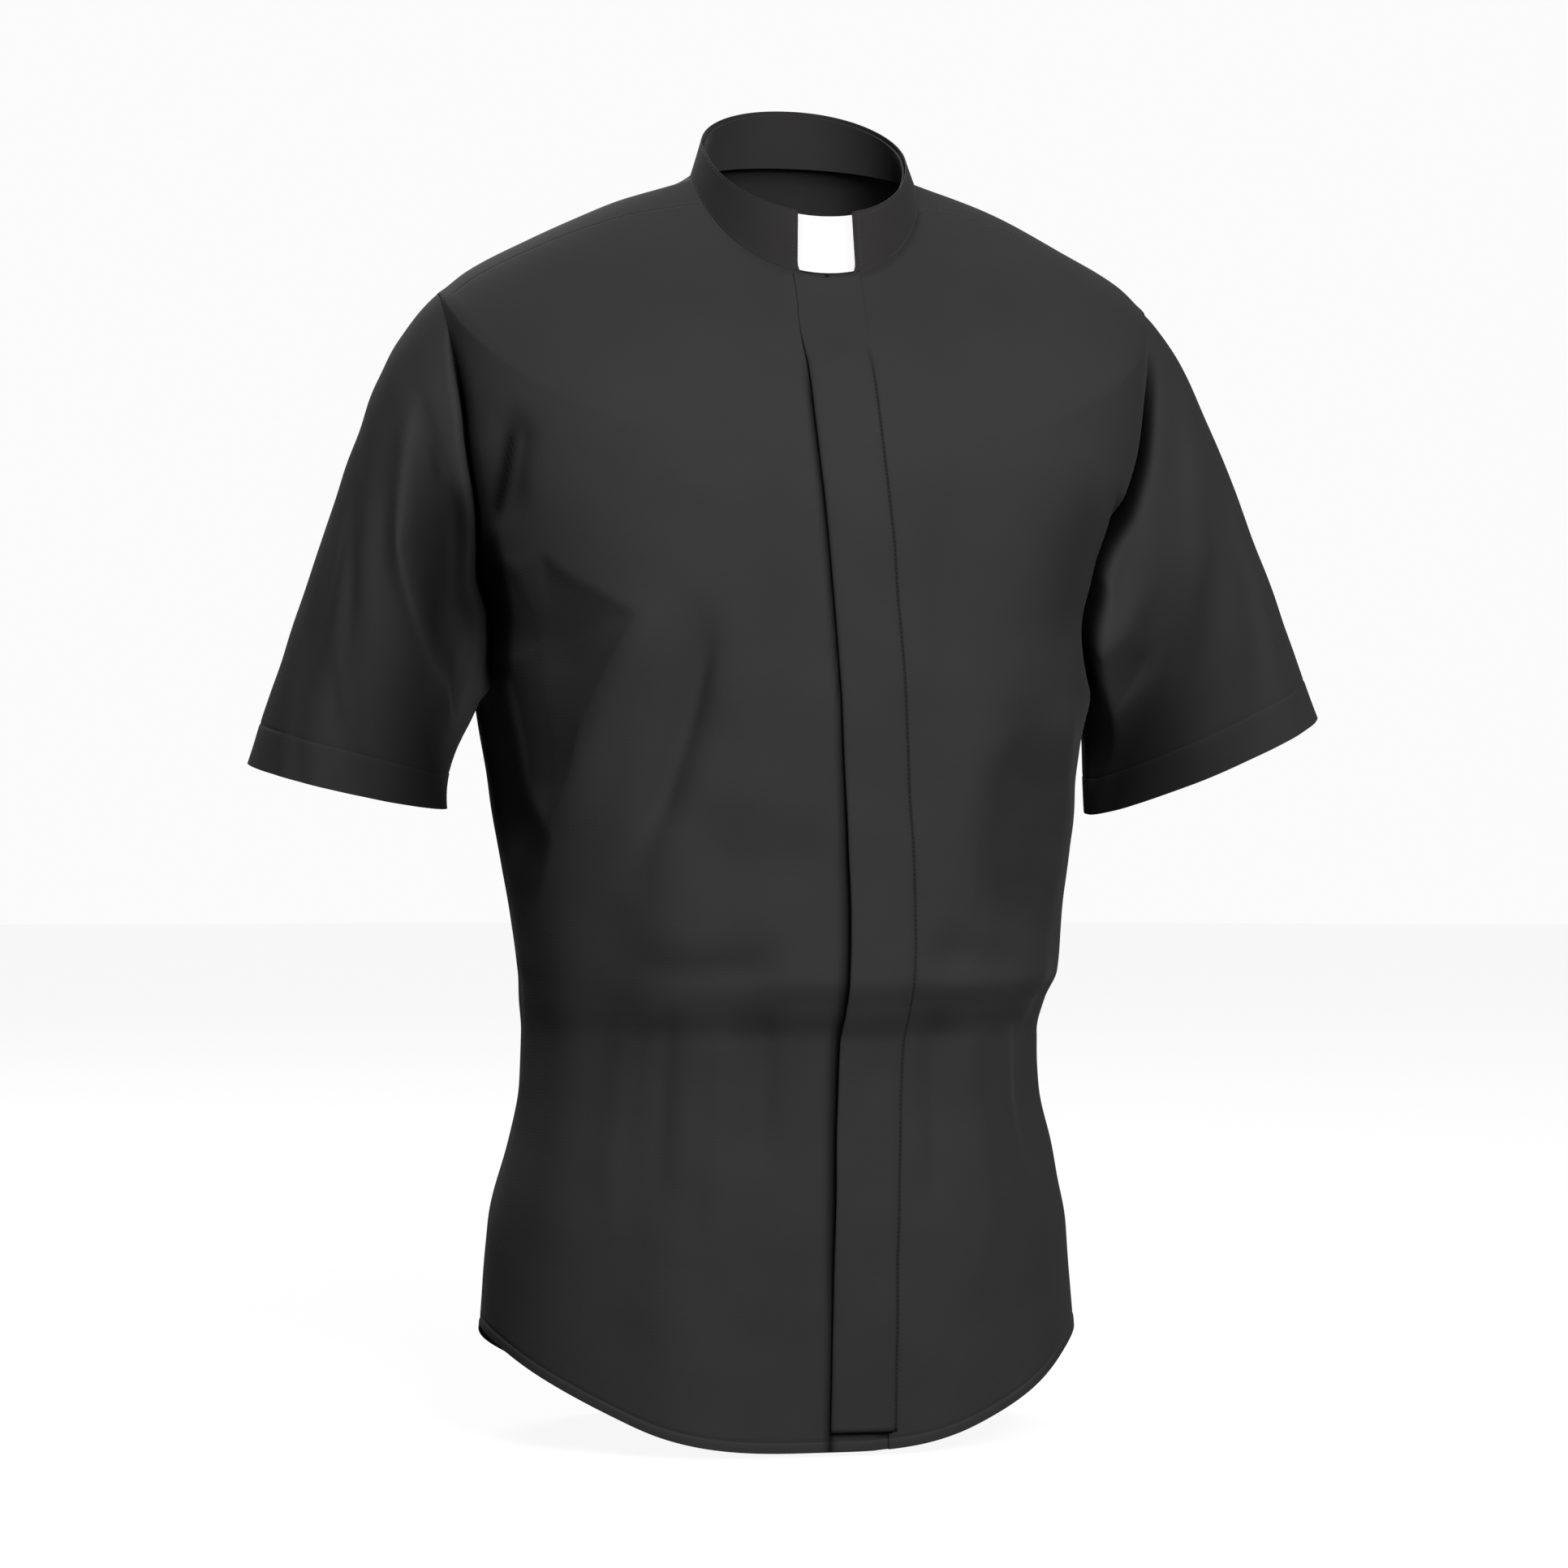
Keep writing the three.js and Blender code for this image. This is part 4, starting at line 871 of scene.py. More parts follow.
@dataclass(frozen=True)
class PoplinFinish:
    """Black polyester and cotton poplin, piece dyed: a fine plain weave, nearly matt, with a faint sheen."""

    name: str = "black_poplin"
    color: str = "2c2c2c"
    worn: str = "313131"
    roughness: float = 0.85
    gloss: float = 0.35
    sheen: float = 0.08
    # How dark the painted shade makes the cloth where it is strongest
    deep: float = 0.93
    # The real 0.25 mm between threads is too fine to show, so four are drawn as one
    thread: float = 1.0

    def make(self) -> bpy.types.Material:
        """Makes the material."""
        finish = Finish(self.name, {
            "Roughness": self.roughness,
            "Sheen Roughness": 0.45,
            "Sheen Tint": linear("b8b8b8"),
        })
        uv = finish.add("ShaderNodeUVMap", uv_map="cloth").outputs["UV"]
        place = finish.add("ShaderNodeTexCoord").outputs["Object"]
        # Soft patches where the dye took a little more or less
        cloud = finish.add("ShaderNodeTexNoise", {"Vector": place, "Scale": 9.0, "Detail": 4.0})
        shade = finish.add("ShaderNodeValToRGB", {"Fac": cloud.outputs["Fac"]})
        for stop, position, color in zip(shade.color_ramp.elements, (0.3, 0.75), (self.color, self.worn)):
            stop.position, stop.color = position, linear(color)
        # The weave, as two sets of threads across each other
        threads = UV_SPAN / self.thread / 2
        sets = []
        for direction in ("X", "Y"):
            rows = {"Vector": uv, "Scale": threads / math.pi, "Distortion": 0.6}
            rows |= {"Detail": 1.0, "Detail Scale": 3.0}
            wave = finish.add("ShaderNodeTexWave", rows, bands_direction=direction)
            sets.append(wave.outputs["Fac"])
        weave = finish.add("ShaderNodeMath", {0: sets[0], 1: sets[1]}, operation="MULTIPLY")
        slub = finish.add("ShaderNodeTexNoise", {"Vector": uv, "Scale": 60.0, "Detail": 3.0})
        rise = {0: slub.outputs["Fac"], 1: 0.6, 2: weave.outputs[0]}
        height = finish.add("ShaderNodeMath", rise, operation="MULTIPLY_ADD")
        finish.raise_grain(height.outputs[0], 0.12, 0.0003)
        # Shade painted into the colour, gloss and sheen: the mesh's shade attribute darkens the armhole seams,
        # some folds, the underarms and the fly's edge
        painted_shade_amount = finish.add("ShaderNodeAttribute", attribute_name="shade").outputs["Fac"]
        kept_after_painted_shade = finish.add("ShaderNodeMath", {0: painted_shade_amount, 1: -self.deep, 2: 1.0}, operation="MULTIPLY_ADD")
        kept_after_painted_shade = kept_after_painted_shade.outputs[0]
        painted_shade_color = finish.add("ShaderNodeVectorMath", {0: shade.outputs["Color"], 3: kept_after_painted_shade}, operation="SCALE")
        gloss = finish.add("ShaderNodeMath", {0: kept_after_painted_shade, 1: self.gloss}, operation="MULTIPLY")
        sheen_under_painted_shade = finish.add("ShaderNodeMath", {0: kept_after_painted_shade, 1: self.sheen}, operation="MULTIPLY")
        finish.wire(painted_shade_color.outputs["Vector"], "Base Color")
        finish.wire(gloss.outputs[0], "Specular IOR Level")
        finish.wire(sheen_under_painted_shade.outputs[0], "Sheen Weight")
        return finish.material


@dataclass(frozen=True)
class TabFinish:
    """White polypropylene sheet, calendered: even and slightly glossy, with soft highlights."""

    name: str = "white_tab_plastic"
    color: str = "f6f3f1"
    roughness: float = 0.42

    def make(self) -> bpy.types.Material:
        """Makes the material."""
        finish = Finish(self.name, {
            "Base Color": linear(self.color),
            "IOR": 1.49,
            "Subsurface Weight": 0.05,
        })
        place = finish.add("ShaderNodeTexCoord").outputs["Object"]
        grain = finish.add("ShaderNodeTexNoise", {"Vector": place, "Scale": 900.0, "Detail": 2.0})
        rough = finish.add("ShaderNodeMapRange", {
            "Value": grain.outputs["Fac"], "To Min": self.roughness - 0.04, "To Max": self.roughness + 0.06,
        })
        finish.raise_grain(grain.outputs["Fac"], 0.08, 0.0001)
        finish.wire(rough.outputs["Result"], "Roughness")
        return finish.material


@dataclass(frozen=True)
class ButtonFinish:
    """Black cast polyester resin, tumble polished: deep, smooth and glossy, with a faint cloud in it."""

    name: str = "black_button"
    color: str = "161618"
    cloud: str = "26262a"

    def make(self) -> bpy.types.Material:
        """Makes the material."""
        polish = {"Roughness": 0.22, "IOR": 1.55, "Coat Weight": 0.3, "Coat Roughness": 0.1}
        finish = Finish(self.name, polish)
        place = finish.add("ShaderNodeTexCoord").outputs["Object"]
        cloud = finish.add("ShaderNodeTexNoise", {"Vector": place, "Scale": 160.0, "Detail": 3.0})
        tones = {"Factor": cloud.outputs["Fac"], "A": linear(self.color), "B": linear(self.cloud)}
        shade = finish.add("ShaderNodeMix", tones, data_type="RGBA")
        finish.wire(shade.outputs["Result"], "Base Color")
        return finish.material


@dataclass(frozen=True)
class ThreadFinish:
    """Black spun polyester sewing thread: two plies twisted together, a little glossier than the cloth."""

    name: str = "black_thread"
    color: str = "303034"
    between: str = "222226"

    def make(self) -> bpy.types.Material:
        """Makes the material."""
        finish = Finish(self.name, {"Roughness": 0.55, "Sheen Weight": 0.2})
        place = finish.add("ShaderNodeTexCoord").outputs["Object"]
        twist = finish.add("ShaderNodeTexNoise", {"Vector": place, "Scale": 1400.0, "Detail": 1.0})
        tones = {"Factor": twist.outputs["Fac"], "A": linear(self.between), "B": linear(self.color)}
        shade = finish.add("ShaderNodeMix", tones, data_type="RGBA")
        finish.wire(shade.outputs["Result"], "Base Color")
        return finish.material


@dataclass(frozen=True)
class PaperFinish:
    """Matt white studio paper, uncoated and evenly lit from behind: pale, with hardly any gloss."""

    name: str
    shade: str
    glow: float

    def make(self) -> bpy.types.Material:
        """Makes the material."""
        finish = Finish(self.name, {
            "Roughness": 0.95,
            "Specular IOR Level": 0.0,
            "Emission Color": (1, 1, 1, 1),
            "Emission Strength": self.glow,
            "Base Color": linear(self.shade),
        })
        return finish.material


# Pieces

class Slot(Enum):
    """The record's material slots that the pieces take their finish from."""

    POPLIN = "black_poplin"
    COLLAR = "fused_collar_cloth"
    TAB = "white_tab_plastic"
    BUTTON = "black_button"


@dataclass(frozen=True)
class Cut:
    """The flat size of the part of a piece that shows, in metres and square metres."""

    width: float
    length: float
    area: float


@dataclass
class Wardrobe:
    """What every piece needs: the form, the pattern and the finishes."""

    figure: Figure
    pattern: Pattern
    poplin: bpy.types.Material
    collar: bpy.types.Material
    tab: bpy.types.Material
    button: bpy.types.Material
    thread: bpy.types.Material


def settle(obj: bpy.types.Object, material: bpy.types.Material, node: str | None = None) -> None:
    """Dresses a piece and puts it on the body.

    Args:
        obj: The piece.
        material: Its material.
        node: The CAD node that it replaces.
    """
    obj.data.materials.append(material)
    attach(obj, "root")
    if node:
        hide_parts(node)


# The cloth's thickness, and the gap between body and sleeve at the armhole seam
CLOTH = 0.8
SEAM_GAP = 0.3
# Where a panel's columns lie close, as shares of its width, and its rows at the hem, as heights above the edge
EDGE_SHARES = (0.003, 0.007, 0.012, 0.019)
HEM_ROWS = (0, 0.7, 1.5, 3.5, 5, 5.5, 6, 6.5, 7, 9)
# Rows of the curved tail, of the level part up to the underarm, and of the armhole
TAIL_TOP_Z = -652.0
TAIL_ROWS = 24
BODY_ROWS = 112
ARMHOLE_ROWS = 74
# The drops over which the fly's free edge comes to gape, and over which it closes again
GAPE_START = (420, 560)
GAPE_END = (700, 800)


def level(drop: float) -> Callable[[Array], Array]:
    """A row that stays at one drop all along."""
    return lambda psi: drop + 0 * psi


def body_rows(figure: Figure) -> list[Callable[[Array], Array]]:
    """Rows of the body below the underarm, from the hem up, as the drop at an angle round it."""
    tail_top = figure.level_drop(TAIL_TOP_Z)
    rows = [(lambda psi, up=up: figure.hem_drop(psi) - up) for up in HEM_ROWS]
    rows += [
        (lambda psi, share=share: mix(figure.hem_drop(psi) - HEM_ROWS[-1], tail_top, share))
        for share in stepped(TAIL_ROWS)[1:-1]
    ]
    rows += [level(figure.level_drop(z)) for z in np.linspace(TAIL_TOP_Z, figure.UNDERARM_Z, BODY_ROWS)[:-1]]
    return rows


def fly_gape(drop: Array, most: float = 1.0) -> Array:
    """How far the fly's free edge gapes at a drop: most below the waist, and not at all near neck and hem."""
    return most * smooth(*GAPE_START, drop) * (1 - smooth(*GAPE_END, drop))


@dataclass
class Front:
    """One front panel, from its edge under the fly to the side seam, the armhole and the yoke."""

    side: Side
    node: str
    edge: float
    cut: Cut
    columns: int = 120
    neck_rows: int = 26
    underlap: float = 1.6
    let_in: float = 1.1

    # How much closer together the columns lie towards the armhole
    CROWDING = 0.1
    # Measured across from the fly's middle: the two edges of the strip that is let in under it near the neck,
    # and where the right front starts to pass under the left one
    LET_IN = ((-22.0, -19.5), (18.5, 21.0))
    LET_IN_END = (40.0, 90.0)
    UNDERLAP_START = (5.0, 12.0)
    # The shadow painted beside the fly's free edge: how dark and how wide it is, and where it starts below the
    # neck
    PAINTED_SHADOW = 0.85
    PAINTED_SHADOW_WIDTHS = (2.6, 4.6)
    PAINTED_SHADOW_START = (70.0, 130.0)

    def rows(self, kit: Wardrobe) -> list[tuple[Callable[[Array], Array], float]]:
        """Rows from the hem to the neck, each as its drop and the angle at which it ends."""
        figure, side = kit.figure, self.side.value
        opening = figure.OPENINGS[self.side]
        rows = [(drop, side * math.pi / 2) for drop in body_rows(figure)]
        for phi in np.linspace(0, kit.pattern.yoke_front[self.side], ARMHOLE_ROWS):
            psi, drop = opening.place(phi)
            rows.append((level(drop), float(psi)))
        junction = float(opening.place(kit.pattern.yoke_front[self.side])[1])
        for share in stepped(self.neck_rows, (0.01, 0.025), start=False)[:-1][::-1]:
            drop = junction * share
            rows.append((level(drop), side * float(figure.ridge_angle(-kit.pattern.YOKE_FORWARD, drop))))
        return rows

    def build(self, kit: Wardrobe) -> bpy.types.Object:
        """Builds and dresses the panel."""
        figure = kit.figure
        shares = stepped(self.columns, EDGE_SHARES)
        shares = shares + self.CROWDING * np.sin(math.pi * shares)
        psi_rows, drop_rows = [], []
        for drop_at, end in self.rows(kit):
            middle = float(drop_at(np.zeros(1))[0])
            start = float(figure.angle_at_x(figure.at("opening", middle) + self.edge, middle))
            psi = mix(start, end, shares)
            psi_rows.append(psi)
            drop_rows.append(drop_at(psi))
        psi, drop = np.array(psi_rows), np.array(drop_rows)
        points, shade = figure.drawn_in(figure.point(psi, drop))
        points = figure.hemmed(points, psi, drop)
        fly_middle, normal = figure.at("opening", drop), figure.normal(psi, drop)
        off_fly = points[..., 0] - fly_middle
        near, far = self.LET_IN
        under_fly = smooth(*near, off_fly) * (1 - smooth(*far, off_fly))
        under_fly = under_fly * (1 - smooth(*self.LET_IN_END, drop))
        points -= normal * (self.let_in * under_fly)[..., None]
        if self.side is Side.RIGHT:
            # Shadow painted beside the fly's free edge, wider where the edge gapes
            width = mix(*self.PAINTED_SHADOW_WIDTHS, fly_gape(drop))
            shadow = self.PAINTED_SHADOW * bump(off_fly - Fly.free, width) * smooth(*self.PAINTED_SHADOW_START, drop)
            shade = np.maximum(shade, shadow)
            under = self.underlap * smooth(*self.UNDERLAP_START, points[..., 0] - fly_middle)
            points -= normal * under[..., None]
        obj = sheet_mesh(f"{self.node}_cloth", points, shade=shade)
        thicken(obj, CLOTH)
        settle(obj, kit.poplin, self.node)
        return obj


@dataclass
class Back:
    """The back, from side seam to side seam and from the hem to the yoke."""

    cut: Cut
    columns: int = 170

    def build(self, kit: Wardrobe) -> bpy.types.Object:
        """Builds and dresses the panel."""
        figure, pattern = kit.figure, kit.pattern
        shares = stepped(self.columns, EDGE_SHARES)
        psi_rows, drop_rows = [], []
        psi = mix(math.pi / 2, 3 * math.pi / 2, shares)
        for drop_at in body_rows(figure):
            psi_rows.append(psi)
            drop_rows.append(drop_at(psi))
        _, seam = pattern.yoke_seam(shares)
        opening = figure.OPENINGS[Side.LEFT]
        rise_to_seam = figure.UNDERARM_DROP - float(opening.place(pattern.yoke_back)[1])
        for phi in np.linspace(2 * math.pi, pattern.yoke_back, ARMHOLE_ROWS):
            place_psi, place_drop = opening.place(phi)
            rise = (figure.UNDERARM_DROP - place_drop) / rise_to_seam
            psi_rows.append(mix(place_psi, 2 * math.pi - place_psi, shares))
            drop_rows.append(mix(figure.UNDERARM_DROP, seam, rise))
        psi, drop = np.array(psi_rows), np.array(drop_rows)
        points, shade = figure.drawn_in(figure.point(psi, drop))
        points = figure.hemmed(points, psi, drop)
        obj = sheet_mesh("back_cloth", points, shade=shade)
        thicken(obj, CLOTH)
        settle(obj, kit.poplin, "back")
        return obj


@dataclass
class Yoke:
    """The yoke over both shoulders, from the front seams round the neck to the back seam."""

    cut: Cut
    shoulder_columns: int = 36
    back_columns: int = 120
    rows: int = 60

    def build(self, kit: Wardrobe) -> bpy.types.Object:
        """Builds and dresses the yoke."""
        figure, pattern = kit.figure, kit.pattern
        steps = stepped(self.rows, (0.006, 0.015))[::-1]
        corner_psi, corner_drop = (float(v) for v in figure.OPENINGS[Side.LEFT].place(pattern.yoke_back))
        corner_behind = float(figure.at("half", corner_drop)) * math.sin(corner_psi - math.pi / 2)
        neck = float(figure.ridge_angle(corner_behind, 0))
        psis, drops = [], []
        for side in (Side.LEFT, None, Side.RIGHT):
            if side is None:
                shares = np.linspace(0, 1, self.back_columns + 1)
                seam_psi, seam_drop = pattern.yoke_seam(shares)
                at_corner = steps[:, None] * corner_drop
                spread = (figure.ridge_angle(corner_behind, at_corner) - corner_psi) / (neck - corner_psi)
                psis.append(mix(seam_psi[None, :], mix(neck, 2 * math.pi - neck, shares)[None, :], spread))
                drops.append(seam_drop[None, :] * steps[:, None])
                continue
            phi = np.linspace(pattern.yoke_front[side], pattern.yoke_back, self.shoulder_columns + 1)[:-1]
            place_psi, place_drop = figure.OPENINGS[side].place(phi)
            behind = figure.at("half", place_drop) * np.sin(np.abs(place_psi) - math.pi / 2)
            drop = place_drop[None, :] * steps[:, None]
            psi = side.value * figure.ridge_angle(behind[None, :], drop)
            order = slice(None) if side is Side.LEFT else slice(None, None, -1)
            psis.append(psi[:, order])
            drops.append(drop[:, order])
        psi, drop = np.concatenate(psis, axis=1), np.concatenate(drops, axis=1)
        points, shade = figure.drawn_in(figure.point(psi, drop))
        obj = sheet_mesh("yoke_cloth", points, shade=shade)
        thicken(obj, CLOTH)
        settle(obj, kit.poplin, "yoke")
        return obj


@dataclass
class Fly:
    """The covered front strip, sewn at the wearer's left and free at the right."""

    cut: Cut
    free: float = -21.0
    sewn: float = 20.0
    hem_gap: float = 12.0
    # How far the free edge gapes and over which share of the width, and how flat the strip lies near the neck
    gape: float = 2.2
    gape_share: float = 0.3
    neck_flatness: float = 0.08
    # Share across, height over the front
    section: tuple[tuple[float, float], ...] = (
        (0, 2.1), (0.01, 2.9), (0.04, 3.5), (0.13, 4.0), (0.32, 4.3), (0.66, 4.2), (0.84, 3.7), (0.91, 3.1),
        (0.94, 2.6), (0.957, 1.3), (0.965, 1.1), (0.973, 1.3), (0.985, 1.6), (0.995, 1.4), (1, 0.9),
    )

    # The row of stitches as a share of the width, and the shadow painted in its groove
    STITCHES = 0.965
    PAINTED_SHADOW = 0.6
    PAINTED_SHADOW_WIDTH = 0.02
    PAINTED_SHADOW_START = (60.0, 120.0)
    FLAT_END = (44.0, 100.0)

    def build(self, kit: Wardrobe) -> bpy.types.Object:
        """Builds and dresses the strip."""
        top = kit.figure.hem_drop(0) - self.hem_gap
        drops = np.concatenate([np.linspace(top, 8, 330), [5, 3, 2, 1]])
        shares = np.array(sorted({*[s for s, _ in self.section], *np.linspace(0, 1, 27)}))
        points = self.line(kit, drops[:, None], shares[None, :])[0]
        # Shadow painted along the groove of the stitches
        groove = bump(shares - self.STITCHES, self.PAINTED_SHADOW_WIDTH)
        shade = self.PAINTED_SHADOW * groove * smooth(*self.PAINTED_SHADOW_START, drops[:, None])
        obj = sheet_mesh("front_fly_cloth", points, shade=shade)
        thicken(obj, CLOTH)
        settle(obj, kit.poplin, "front_fly")
        return obj

    def line(self, kit: Wardrobe, drop: Array, share: Array | float) -> tuple[Array, Array]:
        """The strip's outer face at a drop and a share of its width, and the way out of it."""
        figure = kit.figure
        drop, share = np.broadcast_arrays(drop, share)
        psi = figure.angle_at_x(figure.at("opening", drop) + mix(self.free, self.sewn, share), drop)
        fullness = mix(self.neck_flatness, 1.0, smooth(*self.FLAT_END, drop))
        gape = fly_gape(drop, self.gape) * np.clip(1 - share / self.gape_share, 0, 1) ** 2
        rise = np.interp(share, *zip(*self.section)) * fullness + gape
        normal = figure.normal(psi, drop)
        return figure.point(psi, drop) + normal * rise[..., None], normal


@dataclass
class Sleeve:
    """A short set-in sleeve: a tube from the armhole to an oval hem."""

    # The hem is a tilted oval, and the cloth comes down to it at two angles, outside and inside
    side: Side
    node: str
    centre: tuple[float, float, float]
    wide: float
    deep: float
    tilt: float
    dip: float
    outer: float
    inner: float
    cut: Cut
    folds: tuple[Fold, ...] = ()
    creases: tuple[Crease | Hollow, ...] = ()
    top_way: float = rad(50)
    bottom_way: float = rad(24)
    # How dark the shade painted towards the underarm is
    painted_underarm_shade: float = 0.8
    columns: int = 170
    rows: int = 84

    RADIUS = 65.0
    # How straight the cloth leaves the armhole at the underarm and at the top, and how straight it hangs below
    PULLS = (0.4, 0.19)
    HEM_PULL = 0.42
    # Where the shade painted under the arm ends round the sleeve, and where it starts along it
    PAINTED_SHADE_ROUND = (40.0, 160.0)
    PAINTED_SHADE_ALONG = (10.0, 90.0)
    HEM_ROWS = (24, 21.5, 20.8, 20.4, 20, 19.6, 19.2, 18.5, 15, 11, 7, 4, 2, 1, 0.4, 0)

    def length(self, kit: Wardrobe, phi: Array) -> Array:
        """How long the sleeve is at an angle of the armhole's oval."""
        start, end = (self.point(kit, phi, np.full(phi.shape, float(share))) for share in (0, 1))
        return np.linalg.norm(end - start, axis=-1)

    def downward(self, angle: Array) -> Array:
        """Down, and outwards by an angle."""
        return np.stack([self.side.value * np.sin(angle), 0 * angle, -np.cos(angle)], -1)

    def point(self, kit: Wardrobe, phi: Array, share: Array) -> Array:
        """The outer face of the sleeve.

        Args:
            kit: The form and the pattern.
            phi: The angle of the armhole's oval.
            share: The share of the way from the armhole to the hem.

        Returns:
            Points in mm.
        """
        figure, side = kit.figure, self.side.value
        opening = figure.OPENINGS[self.side]
        top = (1 - np.cos(phi)) / 2
        psi, drop = opening.place(phi)
        start = figure.point(psi, drop)
        normal = figure.normal(psi, drop)
        way = self.downward(mix(self.bottom_way, self.top_way, top))
        onward = figure.point(side * math.pi / 2, (opening.bottom + opening.top) / 2) - start
        onward = unit(onward - normal * (onward * normal).sum(-1, keepdims=True))
        onward = (onward * way).sum(-1, keepdims=True)
        start = start + way * SEAM_GAP / 2 + normal * (SEAM_GAP / 2) * (1 - onward)
        inwards = np.array([-side * math.cos(self.tilt), 0, -math.sin(self.tilt)])
        forwards = np.array([0, -math.cos(self.dip), -math.sin(self.dip)])
        radial = inwards * (self.wide * np.cos(phi))[..., None]
        radial = radial + forwards * (self.deep * np.sin(phi))[..., None]
        end = np.array(self.centre, float) + radial
        length = np.linalg.norm(end - start, axis=-1, keepdims=True)
        arm_way = self.downward(mix(self.inner, self.outer, top))
        pull = mix(*self.PULLS, top)[..., None]
        handles = (start, start + way * pull * length, end - arm_way * self.HEM_PULL * length, end)
        t = share[..., None]
        curve = sum(
            c * (1 - t) ** (3 - k) * t**k * handle for k, (c, handle) in enumerate(zip((1, 3, 3, 1), handles))
        )
        relief = self.relief(np.mod(phi, 2 * math.pi), share, length[..., 0])
        away = share * length[..., 0]
        drawn = figure.groove(phi) * bump(away, figure.GROOVE_WIDTH_IN_SLEEVE[self.side], SLOPE_POWER)
        return curve + unit(radial) * relief[..., None] - figure.outwards(start) * drawn[..., None]

    def relief(self, turn: Array, share: Array, length: Array) -> Array:
        """How far the folds lift the sleeve."""
        total = np.zeros(np.broadcast(turn, share).shape)
        around = turn * self.RADIUS + 0 * share
        along = share * length
        for f in self.folds:
            # The solids measure a fold's run by the sleeve's length at each angle
            a1, a2 = rad(f.a1) * self.RADIUS, rad(f.a2) * self.RADIUS
            b1, b2 = f.b1 * length, f.b2 * length
            span = np.hypot(a2 - a1, b2 - b1)
            run_a, run_b = (a2 - a1) / span, (b2 - b1) / span
            here_a, here_b = around - a1, along - b1
            part = (here_a * run_a + here_b * run_b) / span
            off = (here_a * run_b - here_b * run_a) / (f.width / 2)
            ends = smooth(-0.12, 0.3, part) * (1 - smooth(0.7, 1.12, part))
            total = total + f.height * ends * np.exp(-off * off)
        for crease in self.creases:
            total = total + crease.relief(around, along)
        total = total + Ripples(self.side.value + 7, 0.7).relief(around, along) * smooth(0, 0.3, share)
        return total * smooth(0, 0.12, share)

    def shade(self, kit: Wardrobe, phi: Array, share: Array, length: Array) -> Array:
        """How much shade is painted at the armhole seam, in the folds and towards the underarm, from 0 to 1.
        """
        figure, away = kit.figure, share * length
        turn = np.mod(phi, 2 * math.pi)
        seam = figure.groove(phi) / figure.GROOVE_DEPTH[Face.FRONT]
        seam = seam * bump(away, figure.PAINTED_SHADE_WIDTH_IN_SLEEVE[self.side], 5)
        from_underarm = np.minimum(turn, 2 * math.pi - turn) * self.RADIUS
        under = 1 - smooth(*self.PAINTED_SHADE_ROUND, from_underarm)
        under = self.painted_underarm_shade * under * smooth(*self.PAINTED_SHADE_ALONG, away)
        return np.clip(np.maximum(seam, under + painted_shadows(self.creases, turn * self.RADIUS, away)), 0, 1)

    def build(self, kit: Wardrobe) -> bpy.types.Object:
        """Builds and dresses the sleeve."""
        around = np.linspace(0, 2 * math.pi, self.columns + 1)[:-1]
        length = self.length(kit, around)
        above_hem = stepped(self.rows, (0.003, 0.006, 0.01, 0.015, 0.021, 0.028), end=False)[:, None]
        above_hem = above_hem * (1 - self.HEM_ROWS[0] / length)
        share = np.concatenate([above_hem, *[[1 - up / length] for up in self.HEM_ROWS[1:]]])
        phi = np.broadcast_to(around, share.shape)
        points = self.point(kit, phi, share)
        normals = tube_normals(points)
        outward = np.sign((normals * (points - points.mean(axis=1, keepdims=True))).sum(-1, keepdims=True))
        points += normals * outward * SLEEVE_HEM.relief((1 - share) * length)[..., None]
        obj = sheet_mesh(f"{self.node}_cloth", points, True, self.shade(kit, phi, share, length))
        thicken(obj, CLOTH)
        settle(obj, kit.poplin, self.node)
        return obj


